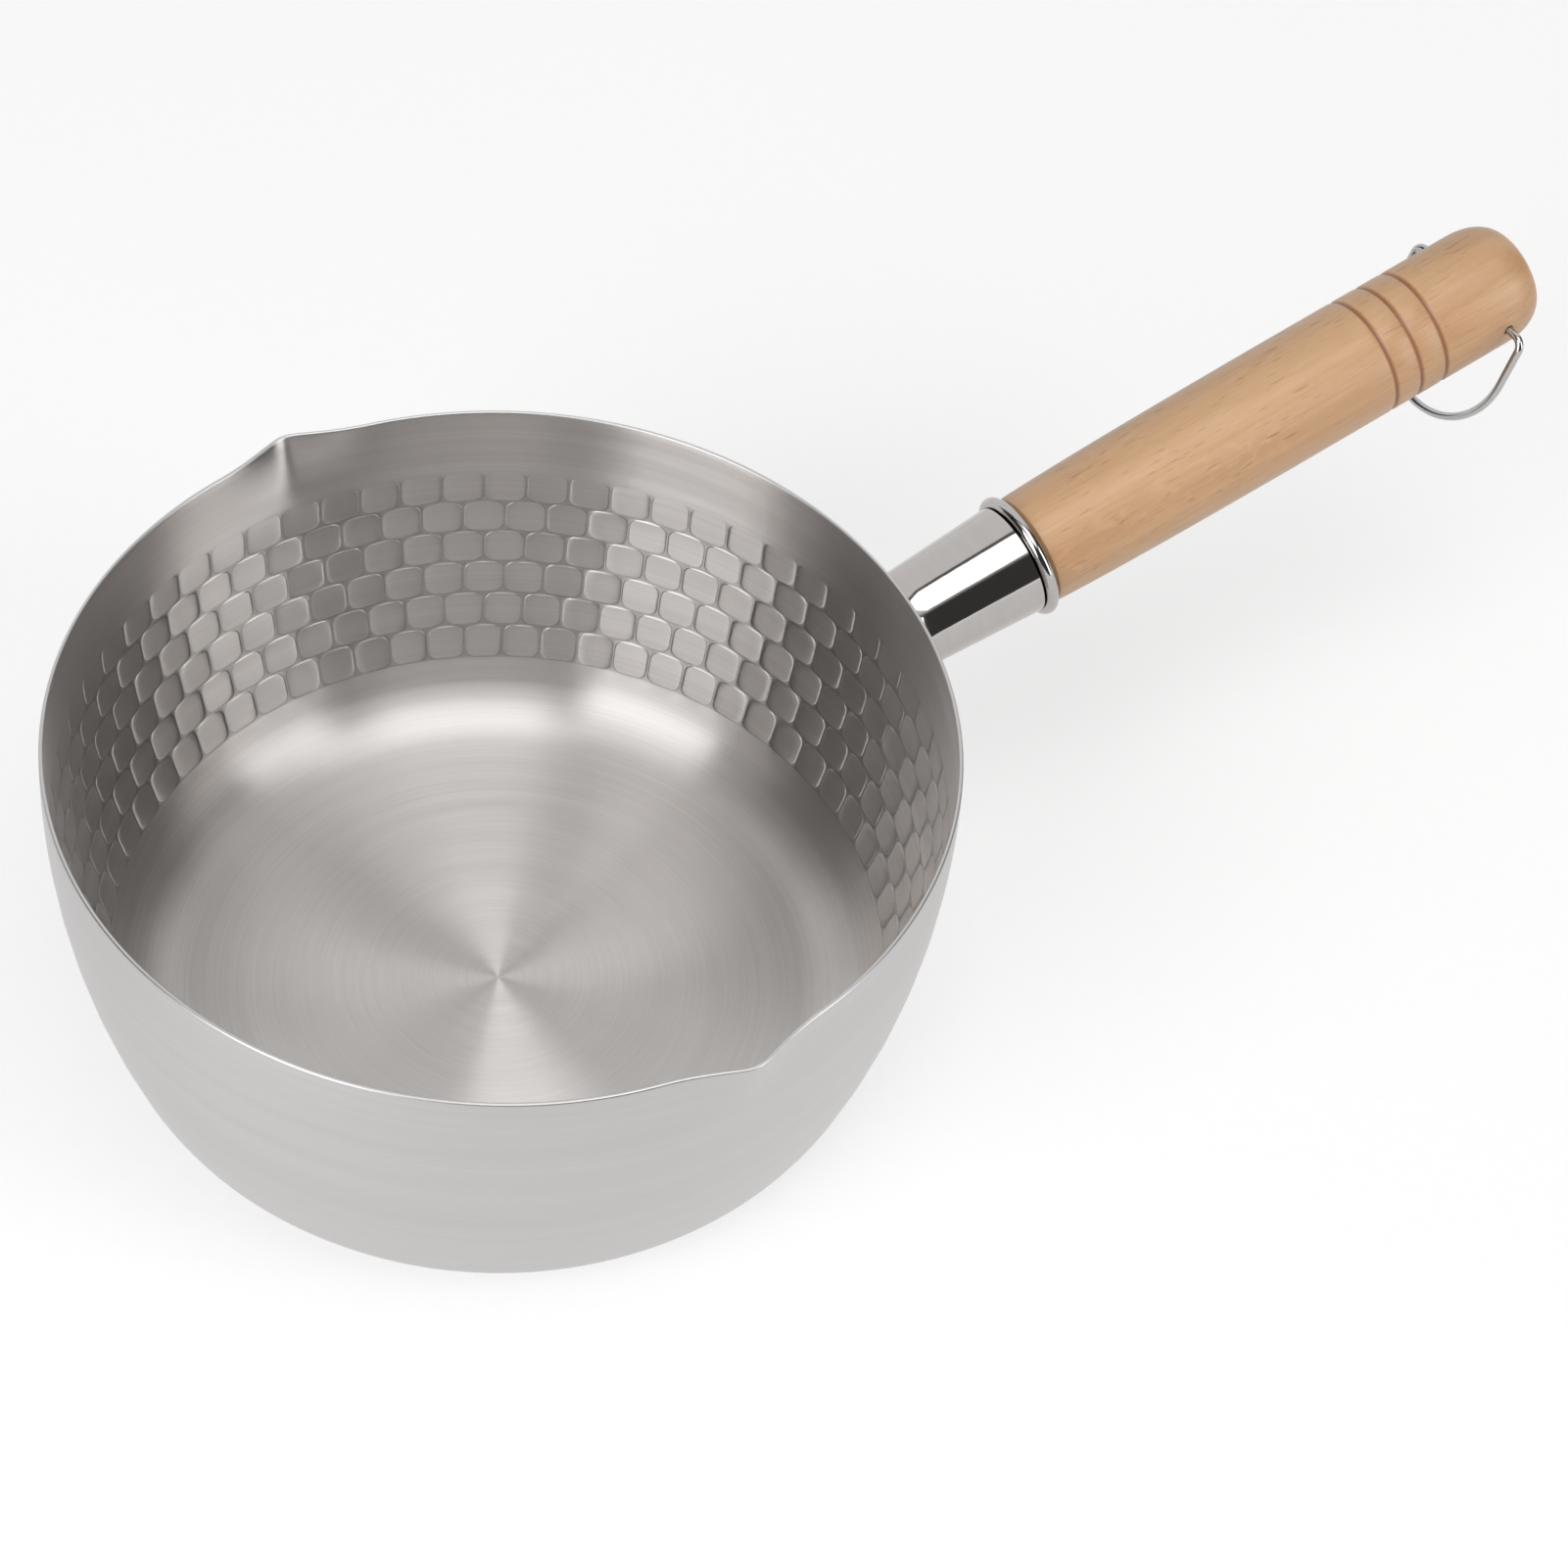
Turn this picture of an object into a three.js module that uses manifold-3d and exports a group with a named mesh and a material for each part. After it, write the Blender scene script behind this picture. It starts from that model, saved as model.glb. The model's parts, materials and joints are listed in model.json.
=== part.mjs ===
// A noodle pot: a drawn steel bowl with two pouring spouts, a turned beech handle held in a steel
// socket, and a wire ring to hang it by. Millimetres, +Z up. The origin is the middle of the flat base,
// and the handle leaves the bowl along +X.
import * as THREE from 'three';
import { mergeVertices } from 'three/addons/utils/BufferGeometryUtils.js';
import Module from 'manifold-3d';

// Bowl: flat base, round corner, then one long shallow curve up to a plain cut rim
const RIM_RADIUS = 100;
const BOWL_HEIGHT = 88;
const BOWL_SHEET = 1;
const CORNER_RADIUS = 20.2;
const WALL_CURVE_RADIUS = 209;
const RIM_LEAN = THREE.MathUtils.degToRad(2.7);

// Spouts: the rim is pressed out at two places, square to the handle
const SPOUT_REACH = 3.8;
const SPOUT_HALF_WIDTH = 16;
const SPOUT_DROP = 22;
const SPOUT_CURVE = 1.5;

// Handle line: it crosses the rim's radius below the rim and rises outwards
const HANDLE_BELOW_RIM = 21.4;
const HANDLE_TILT = THREE.MathUtils.degToRad(12);

// Socket: a cone of sheet steel, welded to the bowl, with a rolled bead round its mouth
const SOCKET_LENGTH = 40.3;
const SOCKET_FOOT_RADIUS = 11.55;
const SOCKET_MOUTH_RADIUS = 13.8;
const SOCKET_SHEET = 0.9;
const BEAD_RADIUS = 1.9;
const BEAD_RISE = 1.65;
const CREVICE = 0.4;
const WELD_LEG = 2.4;

// Wooden handle: a tapered tenon in the socket, a swelling grip, three grooves and a round end
const GRIP_LENGTH = 142.3;
const GRIP_RADIUS = 14.8;
const NECK_RADIUS = 13.5;
const SWELL_LENGTH = 95;
const SWELL_BEND = 23;
const TENON_LENGTH = 32;
const END_ROUND_LENGTH = 10;
const END_ROUND_DEPTH = 5.4;
const GROOVE_COUNT = 3;
const GROOVE_PITCH = 7.35;
const GROOVE_FROM_END = 30;
const GROOVE_WIDTH = 2;
const GROOVE_DEPTH = 0.7;

// Screw: it holds the tenon from the underside of the socket
const SCREW_FROM_MOUTH = 16;
const SCREW_SHANK_RADIUS = 1.5;
const SCREW_HEAD_RADIUS = 3;
const SCREW_HEAD_HEIGHT = 1.7;
const SCREW_LENGTH = 11;
const SCREW_POINT = 2.5;

// Ring: one bent wire whose two ends turn in a cross hole near the end of the handle
const WIRE_RADIUS = 1;
const RING_DROP = 32.5;
const RING_SIDE_GAP = 4.2;
const RING_BEND_RADIUS = 2.6;
const RING_END_GAP = 5;
const RING_SWING = THREE.MathUtils.degToRad(30);
const HOLE_FROM_END = 11.8;

// Clearances between neighbouring pieces
const WELD_GAP = 0.3;
const TENON_GAP = 0.3;
const SHOULDER_GAP = 0.3;
const SCREW_GAP = 0.3;
const WIRE_PLAY = 0.35;

// How finely round shapes are divided
const BOWL_SEGMENTS = 96;
const SPOUT_CROWDING = 0.4;
const CORNER_STEPS = 5;
const WALL_STEPS = 7;
const BEAD_STEPS = 8;
const SWELL_STEPS = 8;
const END_STEPS = 6;
const HEAD_STEPS = 5;
const HANDLE_SEGMENTS = 40;
const SMALL_SEGMENTS = 16;
const WIRE_STEPS = 84;
const WIRE_ARC_STEPS = 5;
const MERGE_DISTANCE = 1e-4;

// How far a cutting or trimmed shape runs past the surface that it meets
const OVERRUN = 12;

const STEEL_SATIN = new THREE.MeshStandardMaterial({ color: 0xc6c4c2, roughness: 0.38, metalness: 1 });
const STEEL_POLISHED = new THREE.MeshStandardMaterial({ color: 0xd2d2d4, roughness: 0.08, metalness: 1 });
const STEEL_WELD = new THREE.MeshStandardMaterial({ color: 0xc0bfbe, roughness: 0.25, metalness: 1 });
const STEEL_WIRE = new THREE.MeshStandardMaterial({ color: 0xc2c1bf, roughness: 0.2, metalness: 1 });
const STEEL_SCREW = new THREE.MeshStandardMaterial({ color: 0xb9b8b6, roughness: 0.3, metalness: 1 });
const BEECH = new THREE.MeshStandardMaterial({ color: 0xcfa57e, roughness: 0.4, metalness: 0 });

const wasm = await Module();
wasm.setup();

// Solids that can be joined and cut

function toSolid(geometry) {
  const bare = geometry.clone();
  bare.deleteAttribute('normal');
  bare.deleteAttribute('uv');
  const merged = mergeVertices(bare, MERGE_DISTANCE);
  const corners = merged.index.array;
  const triangles = [];
  for (let i = 0; i < corners.length; i += 3) {
    const [a, b, c] = [corners[i], corners[i + 1], corners[i + 2]];
    const collapsed = a === b || b === c || c === a;
    if (!collapsed) triangles.push(a, b, c);
  }
  const mesh = new wasm.Mesh({
    numProp: 3,
    vertProperties: Float32Array.from(merged.attributes.position.array),
    triVerts: Uint32Array.from(triangles),
  });
  return new wasm.Manifold(mesh);
}

function toMesh(name, solid, material) {
  const { vertProperties, triVerts } = solid.getMesh();
  const geometry = new THREE.BufferGeometry();
  geometry.setAttribute('position', new THREE.BufferAttribute(Float32Array.from(vertProperties), 3));
  geometry.setIndex(new THREE.BufferAttribute(Uint32Array.from(triVerts), 1));
  geometry.computeVertexNormals();
  const mesh = new THREE.Mesh(geometry, material);
  mesh.name = name;
  return mesh;
}

// A profile of [radius, distance along the axis] pairs, turned round a line
function turned(profile, segments, origin, direction) {
  const points = profile.map(([radius, along]) => new THREE.Vector2(radius, along));
  const upright = new THREE.Vector3(0, 1, 0);
  const turn = new THREE.Quaternion().setFromUnitVectors(upright, direction);
  const geometry = new THREE.LatheGeometry(points, segments);
  return geometry.applyQuaternion(turn).translate(origin.x, origin.y, origin.z);
}

// Points of an elliptic arc as [radius, distance] pairs, with angles measured from the radius direction
function arc(centre, radii, from, to, steps) {
  return Array.from({ length: steps + 1 }, (_, i) => {
    const angle = THREE.MathUtils.lerp(from, to, i / steps);
    return [centre[0] + radii[0] * Math.cos(angle), centre[1] + radii[1] * Math.sin(angle)];
  });
}

// Bowl

const VERTICAL = new THREE.Vector3(0, 0, 1);
const BASE_CENTRE = new THREE.Vector3(0, 0, 0);

// The corner and the wall are two arcs that share a tangent. cornerEnd is the angle where they meet.
const wallExcess = WALL_CURVE_RADIUS - CORNER_RADIUS;
const wallRise = BOWL_HEIGHT - CORNER_RADIUS - WALL_CURVE_RADIUS * Math.sin(RIM_LEAN);
const cornerEnd = -Math.asin(wallRise / wallExcess);
const wallCentreRadius = RIM_RADIUS - WALL_CURVE_RADIUS * Math.cos(RIM_LEAN);
const baseRadius = wallCentreRadius + wallExcess * Math.cos(cornerEnd);
const wallCentreHeight = CORNER_RADIUS - wallExcess * Math.sin(cornerEnd);

// The bowl's surface from the edge of the base to the rim, moved outwards by an offset
function bowlSide(offset) {
  const cornerRadius = CORNER_RADIUS + offset;
  const wallRadius = WALL_CURVE_RADIUS + offset;
  const cornerCentre = [baseRadius, CORNER_RADIUS];
  const wallCentre = [wallCentreRadius, wallCentreHeight];
  const corner = arc(cornerCentre, [cornerRadius, cornerRadius], -Math.PI / 2, cornerEnd, CORNER_STEPS);
  const wall = arc(wallCentre, [wallRadius, wallRadius], cornerEnd, RIM_LEAN, WALL_STEPS);
  return [...corner, ...wall.slice(1)];
}

// The facets stand closer together near the two spouts
function revolveBowl(profile) {
  const geometry = turned(profile, BOWL_SEGMENTS, BASE_CENTRE, VERTICAL);
  const position = geometry.attributes.position;
  for (let i = 0; i < position.count; i += 1) {
    const radius = Math.hypot(position.getX(i), position.getY(i));
    const fromSpout = Math.atan2(position.getY(i), position.getX(i)) - Math.PI / 2;
    const crowded = fromSpout - 0.5 * SPOUT_CROWDING * Math.sin(2 * fromSpout);
    position.setX(i, -radius * Math.sin(crowded));
    position.setY(i, radius * Math.cos(crowded));
  }
  return geometry;
}

// How far the wall is pressed out at a place: most at the middle of a spout's lip
function spoutPush(x, y, z) {
  const across = Math.abs(Math.atan2(x, Math.abs(y))) * RIM_RADIUS / SPOUT_HALF_WIDTH;
  const up = (z - BOWL_HEIGHT + SPOUT_DROP) / SPOUT_DROP;
  if (across >= 1 || up <= 0) return 0;
  return SPOUT_REACH * Math.cos(across * Math.PI / 2) ** 2 * up ** SPOUT_CURVE;
}

function pressSpouts(geometry) {
  const position = geometry.attributes.position;
  for (let i = 0; i < position.count; i += 1) {
    const [x, y] = [position.getX(i), position.getY(i)];
    const radius = Math.hypot(x, y);
    const push = spoutPush(x, y, position.getZ(i));
    const grown = radius > 0 ? (radius + push) / radius : 1;
    position.setXY(i, x * grown, y * grown);
  }
  return geometry;
}

function makeBowl() {
  const outside = bowlSide(0);
  const inside = bowlSide(-BOWL_SHEET).reverse();
  const profile = [[0, 0], ...outside, ...inside, [0, BOWL_SHEET]];
  return toMesh('pot_bowl', toSolid(pressSpouts(revolveBowl(profile))), STEEL_SATIN);
}

// The bowl as a filled block with a margin, to trim what is welded to its wall
function bowlBlock(margin) {
  const top = BOWL_HEIGHT + OVERRUN;
  const side = bowlSide(margin);
  const rim = side[side.length - 1];
  return toSolid(revolveBowl([[0, -margin], ...side, [rim[0], top], [0, top]]));
}

// Handle line

const ALONG = new THREE.Vector3(Math.cos(HANDLE_TILT), 0, Math.sin(HANDLE_TILT));
const BELOW = new THREE.Vector3(Math.sin(HANDLE_TILT), 0, -Math.cos(HANDLE_TILT));
const SIDEWAYS = new THREE.Vector3(0, 1, 0);
const ROOT = new THREE.Vector3(RIM_RADIUS, 0, BOWL_HEIGHT - HANDLE_BELOW_RIM);
const onHandle = (distance) => ROOT.clone().addScaledVector(ALONG, distance);

const socketTaper = (SOCKET_MOUTH_RADIUS - SOCKET_FOOT_RADIUS) / SOCKET_LENGTH;
const socketOutside = (distance) => SOCKET_FOOT_RADIUS + socketTaper * distance;
const socketInside = (distance) => socketOutside(distance) - SOCKET_SHEET;
const handleEnd = SOCKET_LENGTH + GRIP_LENGTH;
const holeAt = handleEnd - HOLE_FROM_END;
const screwAt = SOCKET_LENGTH - SCREW_FROM_MOUTH;
const screwSeat = socketOutside(screwAt) + SCREW_GAP;

function roundBar(radius, from, to, segments, origin, direction) {
  return toSolid(turned([[0, from], [radius, from], [radius, to], [0, to]], segments, origin, direction));
}

function screwHole() {
  const radius = SCREW_SHANK_RADIUS + SCREW_GAP;
  const deepest = screwSeat - SCREW_LENGTH - SCREW_GAP;
  return roundBar(radius, deepest, screwSeat + OVERRUN, SMALL_SEGMENTS, onHandle(screwAt), BELOW);
}

// Socket and its weld

function makeSocket() {
  const beadAt = SOCKET_LENGTH - BEAD_RADIUS;
  const beadCentre = [socketOutside(beadAt) + BEAD_RISE - BEAD_RADIUS, beadAt];
  const coneEnd = beadAt - BEAD_RADIUS - CREVICE;
  const bead = arc(beadCentre, [BEAD_RADIUS, BEAD_RADIUS], -Math.PI / 2, Math.PI / 2, BEAD_STEPS);
  const profile = [
    [socketInside(-OVERRUN), -OVERRUN],
    [socketOutside(-OVERRUN), -OVERRUN],
    [socketOutside(coneEnd), coneEnd],
    ...bead,
    [socketInside(SOCKET_LENGTH), SOCKET_LENGTH],
    [socketInside(-OVERRUN), -OVERRUN],
  ];
  const cone = toSolid(turned(profile, HANDLE_SEGMENTS, ROOT, ALONG));
  const trimmed = cone.subtract(bowlBlock(WELD_GAP)).subtract(screwHole());
  return toMesh('handle_socket', trimmed, STEEL_POLISHED);
}

// A bead of weld round the socket's foot, lying on the wall and against the socket, with a hollow face
function makeWeld() {
  const foot = SOCKET_FOOT_RADIUS + WELD_GAP;
  const hollow = WELD_LEG / 3;
  const inner = -OVERRUN * 2;
  const profile = [
    [0, -OVERRUN],
    [foot + WELD_LEG, -OVERRUN],
    [foot + WELD_LEG, 0],
    [foot + hollow, hollow],
    [foot, WELD_LEG],
    [0, WELD_LEG],
  ];
  const outwards = new THREE.Vector3(1, 0, 0);
  const flare = turned(profile, HANDLE_SEGMENTS, BASE_CENTRE, outwards);
  flare.scale(1, 1, 1 / Math.cos(HANDLE_TILT)).translate(ROOT.x, ROOT.y, ROOT.z);
  const clearance = [
    [0, inner],
    [socketOutside(inner) + WELD_GAP, inner],
    [socketOutside(OVERRUN) + WELD_GAP, OVERRUN],
    [0, OVERRUN],
  ];
  const socketRoom = toSolid(turned(clearance, HANDLE_SEGMENTS, ROOT, ALONG));
  const bead = toSolid(flare).subtract(socketRoom).subtract(bowlBlock(WELD_GAP));
  return toMesh('socket_weld', bead, STEEL_WELD);
}

// Wooden handle

// The grip swells from the neck to its full radius along one curve
function gripSwell() {
  const start = SOCKET_LENGTH + SHOULDER_GAP;
  const neck = new THREE.Vector2(NECK_RADIUS, start);
  const bend = new THREE.Vector2(GRIP_RADIUS, start + SWELL_BEND);
  const full = new THREE.Vector2(GRIP_RADIUS, start + SWELL_LENGTH);
  const swell = new THREE.QuadraticBezierCurve(neck, bend, full);
  return swell.getPoints(SWELL_STEPS).map((point) => [point.x, point.y]);
}

function groovePoints() {
  const first = handleEnd - GROOVE_FROM_END - (GROOVE_COUNT - 1) * GROOVE_PITCH;
  const half = GROOVE_WIDTH / 2;
  const points = [];
  for (let i = 0; i < GROOVE_COUNT; i += 1) {
    const middle = first + i * GROOVE_PITCH;
    points.push([GRIP_RADIUS, middle - half]);
    points.push([GRIP_RADIUS - GROOVE_DEPTH, middle]);
    points.push([GRIP_RADIUS, middle + half]);
  }
  return points;
}

function makeHandle() {
  const tenonStart = SOCKET_LENGTH - TENON_LENGTH;
  const shoulder = SOCKET_LENGTH + SHOULDER_GAP;
  const tenon = (distance) => [socketInside(distance) - TENON_GAP, distance];
  const endCentre = [GRIP_RADIUS - END_ROUND_DEPTH, handleEnd - END_ROUND_LENGTH];
  const profile = [
    [0, tenonStart],
    tenon(tenonStart),
    tenon(shoulder),
    ...gripSwell(),
    ...groovePoints(),
    ...arc(endCentre, [END_ROUND_DEPTH, END_ROUND_LENGTH], 0, Math.PI / 2, END_STEPS),
    [0, handleEnd],
  ];
  const blank = toSolid(turned(profile, HANDLE_SEGMENTS, ROOT, ALONG));
  const reach = GRIP_RADIUS + OVERRUN;
  const hole = roundBar(WIRE_RADIUS + WIRE_PLAY, -reach, reach, SMALL_SEGMENTS, onHandle(holeAt), SIDEWAYS);
  return toMesh('wood_handle', blank.subtract(hole).subtract(screwHole()), BEECH);
}

function makeScrew() {
  const tip = screwSeat - SCREW_LENGTH;
  const profile = [
    [0, tip],
    [SCREW_SHANK_RADIUS, tip + SCREW_POINT],
    [SCREW_SHANK_RADIUS, screwSeat],
    ...arc([0, screwSeat], [SCREW_HEAD_RADIUS, SCREW_HEAD_HEIGHT], 0, Math.PI / 2, HEAD_STEPS),
  ];
  const screw = turned(profile, SMALL_SEGMENTS, onHandle(screwAt), BELOW);
  return toMesh('handle_screw', toSolid(screw), STEEL_SCREW);
}

// Hanging ring

// A flat path lifted into the plane of the ring: x runs along the cross hole, y away from it
class RingPath extends THREE.Curve {
  constructor(path) {
    super();
    this.path = path;
    this.pivot = onHandle(holeAt);
    this.drop = BELOW.clone().multiplyScalar(Math.cos(RING_SWING));
    this.drop.addScaledVector(ALONG, -Math.sin(RING_SWING));
  }

  getPoint(t, target = new THREE.Vector3()) {
    const flat = this.path.getPoint(t);
    return target.copy(this.pivot).addScaledVector(SIDEWAYS, flat.x).addScaledVector(this.drop, flat.y);
  }
}

function makeRing() {
  const legs = GRIP_RADIUS + RING_SIDE_GAP + WIRE_RADIUS;
  const bend = RING_BEND_RADIUS;
  const roundStart = RING_DROP - legs;
  const path = new THREE.Path();
  path.moveTo(RING_END_GAP / 2, 0);
  path.lineTo(legs - bend, 0);
  path.absarc(legs - bend, bend, bend, -Math.PI / 2, 0, false);
  path.lineTo(legs, roundStart);
  path.absarc(0, roundStart, legs, 0, Math.PI, false);
  path.lineTo(-legs, bend);
  path.absarc(bend - legs, bend, bend, Math.PI, Math.PI * 1.5, false);
  path.lineTo(-RING_END_GAP / 2, 0);
  const section = new THREE.Shape();
  section.absarc(0, 0, WIRE_RADIUS, 0, Math.PI * 2, false);
  const wire = new THREE.ExtrudeGeometry(section, {
    steps: WIRE_STEPS,
    curveSegments: WIRE_ARC_STEPS,
    extrudePath: new RingPath(path),
  });
  return toMesh('hanging_ring', toSolid(wire), STEEL_WIRE);
}

const noodlePot = new THREE.Group();
noodlePot.name = 'noodle_pot';
noodlePot.add(makeBowl(), makeSocket(), makeWeld(), makeHandle(), makeScrew(), makeRing());

export default noodlePot;
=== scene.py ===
# %% [markdown]
# A noodle pot dressed around its solids
# The imported solids are a fixed frame in metres: the pot stands on the origin, the handle runs along +X and
# the two spouts lie on +Y and -Y. Each solid is replaced here by a finer piece of the same size and place.
# The box of the solids is kept.

# %% The fixed frame
import json
from math import asin, cos, hypot, pi, radians, sin

import bmesh
import bpy
import numpy as np
from mathutils import Matrix, Vector

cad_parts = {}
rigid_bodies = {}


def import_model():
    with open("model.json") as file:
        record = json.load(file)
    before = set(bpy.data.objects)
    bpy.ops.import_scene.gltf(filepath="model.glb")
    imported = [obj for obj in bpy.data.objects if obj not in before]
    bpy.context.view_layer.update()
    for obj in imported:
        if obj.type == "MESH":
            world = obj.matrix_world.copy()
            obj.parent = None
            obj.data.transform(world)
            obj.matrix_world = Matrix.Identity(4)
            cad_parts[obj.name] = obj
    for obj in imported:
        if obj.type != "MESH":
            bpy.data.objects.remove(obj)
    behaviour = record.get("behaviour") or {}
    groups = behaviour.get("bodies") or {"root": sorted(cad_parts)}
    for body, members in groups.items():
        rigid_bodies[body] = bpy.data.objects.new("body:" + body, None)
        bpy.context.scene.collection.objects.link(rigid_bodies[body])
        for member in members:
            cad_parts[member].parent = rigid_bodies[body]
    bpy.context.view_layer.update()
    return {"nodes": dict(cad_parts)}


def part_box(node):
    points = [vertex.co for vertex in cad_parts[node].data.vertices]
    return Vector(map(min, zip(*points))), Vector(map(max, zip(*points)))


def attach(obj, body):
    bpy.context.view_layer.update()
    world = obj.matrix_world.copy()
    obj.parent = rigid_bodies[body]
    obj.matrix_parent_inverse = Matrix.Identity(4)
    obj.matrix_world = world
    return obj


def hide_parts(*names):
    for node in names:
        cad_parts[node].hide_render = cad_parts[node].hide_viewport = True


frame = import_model()
MM = 0.001
TURN = 2 * pi
print("solids:", sorted(frame["nodes"]))

# %% [markdown]
# The camera
# The photograph looks down into the pot from about fifty degrees above the table, with the handle running
# away to the right. The camera stands on a circle round the pot, then turns a little off the pot's middle,
# because the picture also has to hold the handle. A long lens keeps the round rim from looking stretched.

# %% Camera at the photograph's angle
PHOTO_PIXELS = 1601
FOCAL_PIXELS = 4046.8
SENSOR_WIDTH = 36.0
NEAREST_SEEN = 10 * MM
VIEW_AZIMUTH = radians(-31.0)
VIEW_ELEVATION = radians(50.34)
VIEW_DISTANCE = 892 * MM
VIEW_TARGET = Vector((0, 0, 50 * MM))
VIEW_YAW = radians(-4.04)
VIEW_PITCH = radians(-0.97)
VIEW_ROLL = radians(1.59)
PHOTO_RIGHT = Vector((cos(VIEW_AZIMUTH), sin(VIEW_AZIMUTH), 0))
PHOTO_BACK = Vector((-sin(VIEW_AZIMUTH), cos(VIEW_AZIMUTH), 0))


def turned_pair(first, second, angle):
    """Two square directions, both turned by an angle in their common plane."""
    return first * cos(angle) - second * sin(angle), second * cos(angle) + first * sin(angle)


def make_camera():
    back = Vector((0, 0, sin(VIEW_ELEVATION))) - PHOTO_BACK * cos(VIEW_ELEVATION)
    up = back.cross(PHOTO_RIGHT)
    place = VIEW_TARGET + back * VIEW_DISTANCE
    right, back = turned_pair(PHOTO_RIGHT, back, VIEW_YAW)
    up, back = turned_pair(up, back, VIEW_PITCH)
    up, right = turned_pair(up, right, VIEW_ROLL)
    data = bpy.data.cameras.new("photo_camera")
    data.sensor_width = SENSOR_WIDTH
    data.lens = SENSOR_WIDTH * FOCAL_PIXELS / PHOTO_PIXELS
    data.clip_start = NEAREST_SEEN
    camera = bpy.data.objects.new("photo_camera", data)
    camera.matrix_world = Matrix.Translation(place) @ Matrix((right, up, back)).transposed().to_4x4()
    bpy.context.scene.collection.objects.link(camera)
    bpy.context.scene.camera = camera
    return camera


camera = make_camera()
bpy.context.scene.view_settings.view_transform = "Standard"
print("camera at", [round(value, 3) for value in camera.matrix_world.translation], "lens", camera.data.lens)

# %% [markdown]
# Numbers inside node trees
# Both the shapes and the finishes of this pot follow formulas. A formula in a node tree is a chain of Math
# nodes, which is slow to read when each node is wired by hand. The small class below stands for a number
# in a tree: adding or multiplying two of them adds the Math node, so a formula looks like a formula.


# %% Adding nodes
def feed(tree, socket, value):
    """Sets a socket to a plain value, or links it to a number or socket of the tree."""
    if isinstance(value, Num):
        value = value.socket
    if isinstance(value, bpy.types.NodeSocket):
        tree.links.new(value, socket)
    else:
        socket.default_value = value


def feed_all(tree, node, inputs):
    """Feeds the sockets of a node, by name or by position."""
    for key, value in inputs.items():
        feed(tree, node.inputs[key], value)


def put(tree, kind, inputs=None, settings=None):
    """Adds a node, with what goes into its sockets and with its settings."""
    node = tree.nodes.new(kind)
    for name, value in (settings or {}).items():
        setattr(node, name, value)
    feed_all(tree, node, inputs or {})
    return node


def out(tree, kind, inputs=None, settings=None, output=0):
    """Adds a node and gives one of its outputs."""
    return put(tree, kind, inputs, settings).outputs[output]


# %% Formulas as chains of nodes
class Num:
    """A number in a node tree. Arithmetic on it adds Math nodes to that tree."""

    def __init__(self, tree, socket):
        self.tree = tree
        self.socket = socket

    def math(self, operation, *values):
        inputs = dict(enumerate(values))
        return Num(self.tree, out(self.tree, "ShaderNodeMath", inputs, {"operation": operation}))

    def __rsub__(self, other):
        return self.math("SUBTRACT", other, self)

    def clamp(self):
        return self.most(0.0).least(1.0)

    def between(self, low, high, start=0.0, end=1.0, smooth=True):
        """Maps low..high to start..end, eased at both ends unless smooth is off."""
        inputs = {"Value": self, "From Min": low, "From Max": high, "To Min": start, "To Max": end}
        kind = "SMOOTHSTEP" if smooth else "LINEAR"
        return Num(self.tree, out(self.tree, "ShaderNodeMapRange", inputs, {"interpolation_type": kind}))


MATH_NODES = {
    "__add__": "ADD", "__radd__": "ADD", "__sub__": "SUBTRACT", "__mul__": "MULTIPLY", "__rmul__": "MULTIPLY",
    "__truediv__": "DIVIDE", "__pow__": "POWER", "__abs__": "ABSOLUTE", "sin": "SINE", "cos": "COSINE",
    "floor": "FLOOR", "fraction": "FRACT", "root": "SQRT", "least": "MINIMUM", "most": "MAXIMUM",
    "above": "GREATER_THAN", "angle_over": "ARCTAN2",
}
for method, operation in MATH_NODES.items():
    setattr(Num, method, lambda self, *others, kind=operation: self.math(kind, self, *others))
print("formulas can use", len(MATH_NODES), "operations")


def split(tree, vector):
    """The three numbers of a vector socket."""
    return [Num(tree, socket) for socket in put(tree, "ShaderNodeSeparateXYZ", {0: vector}).outputs]


def combine(tree, x, y, z):
    return out(tree, "ShaderNodeCombineXYZ", {0: x, 1: y, 2: z})


# %% [markdown]
# Turning a profile into a piece
# The bowl, the socket, the handle and the screw are all turned or spun: one outline swept round an axis.
# Spinning could be done once by hand in edit mode, but here the outline is a small mesh of points, and a
# Geometry Nodes tree wraps a flat grid round it. Each point of the outline carries named values along, such
# as how deep a groove is there, and the finished surface keeps them for its material.


# %% Outlines as small meshes
def add_object(name, mesh):
    made = bpy.data.objects.new(name, mesh)
    bpy.context.scene.collection.objects.link(made)
    return made


def path_object(name, places):
    """Places as a line of vertices, which isn't rendered."""
    mesh = bpy.data.meshes.new(name)
    mesh.from_pydata(places, [(i, i + 1) for i in range(len(places) - 1)], [])
    made = add_object(name, mesh)
    made.hide_render = True
    return made


def outline_object(name, points, **values):
    """Points (radius, height) as a line of vertices, with one named number per point for each value."""
    made = path_object(name, [(radius, 0, height) for radius, height in points])
    for key, numbers in values.items():
        layer = made.data.attributes.new(key, "FLOAT", "POINT")
        layer.data.foreach_set("value", np.array(numbers, dtype=np.float32))
    return made


def arc(centre, radii, start, end, steps):
    """Points (radius, height) along an elliptic arc, with angles measured from the radius direction."""
    angles = np.linspace(start, end, steps + 1)
    return [(centre[0] + radii[0] * cos(a), centre[1] + radii[1] * sin(a)) for a in angles]


def line(start, end, steps):
    """Points from start to end, both included."""
    shares = np.linspace(0, 1, steps + 1)
    return [tuple(a + (b - a) * share for a, b in zip(start, end)) for share in shares]


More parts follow.
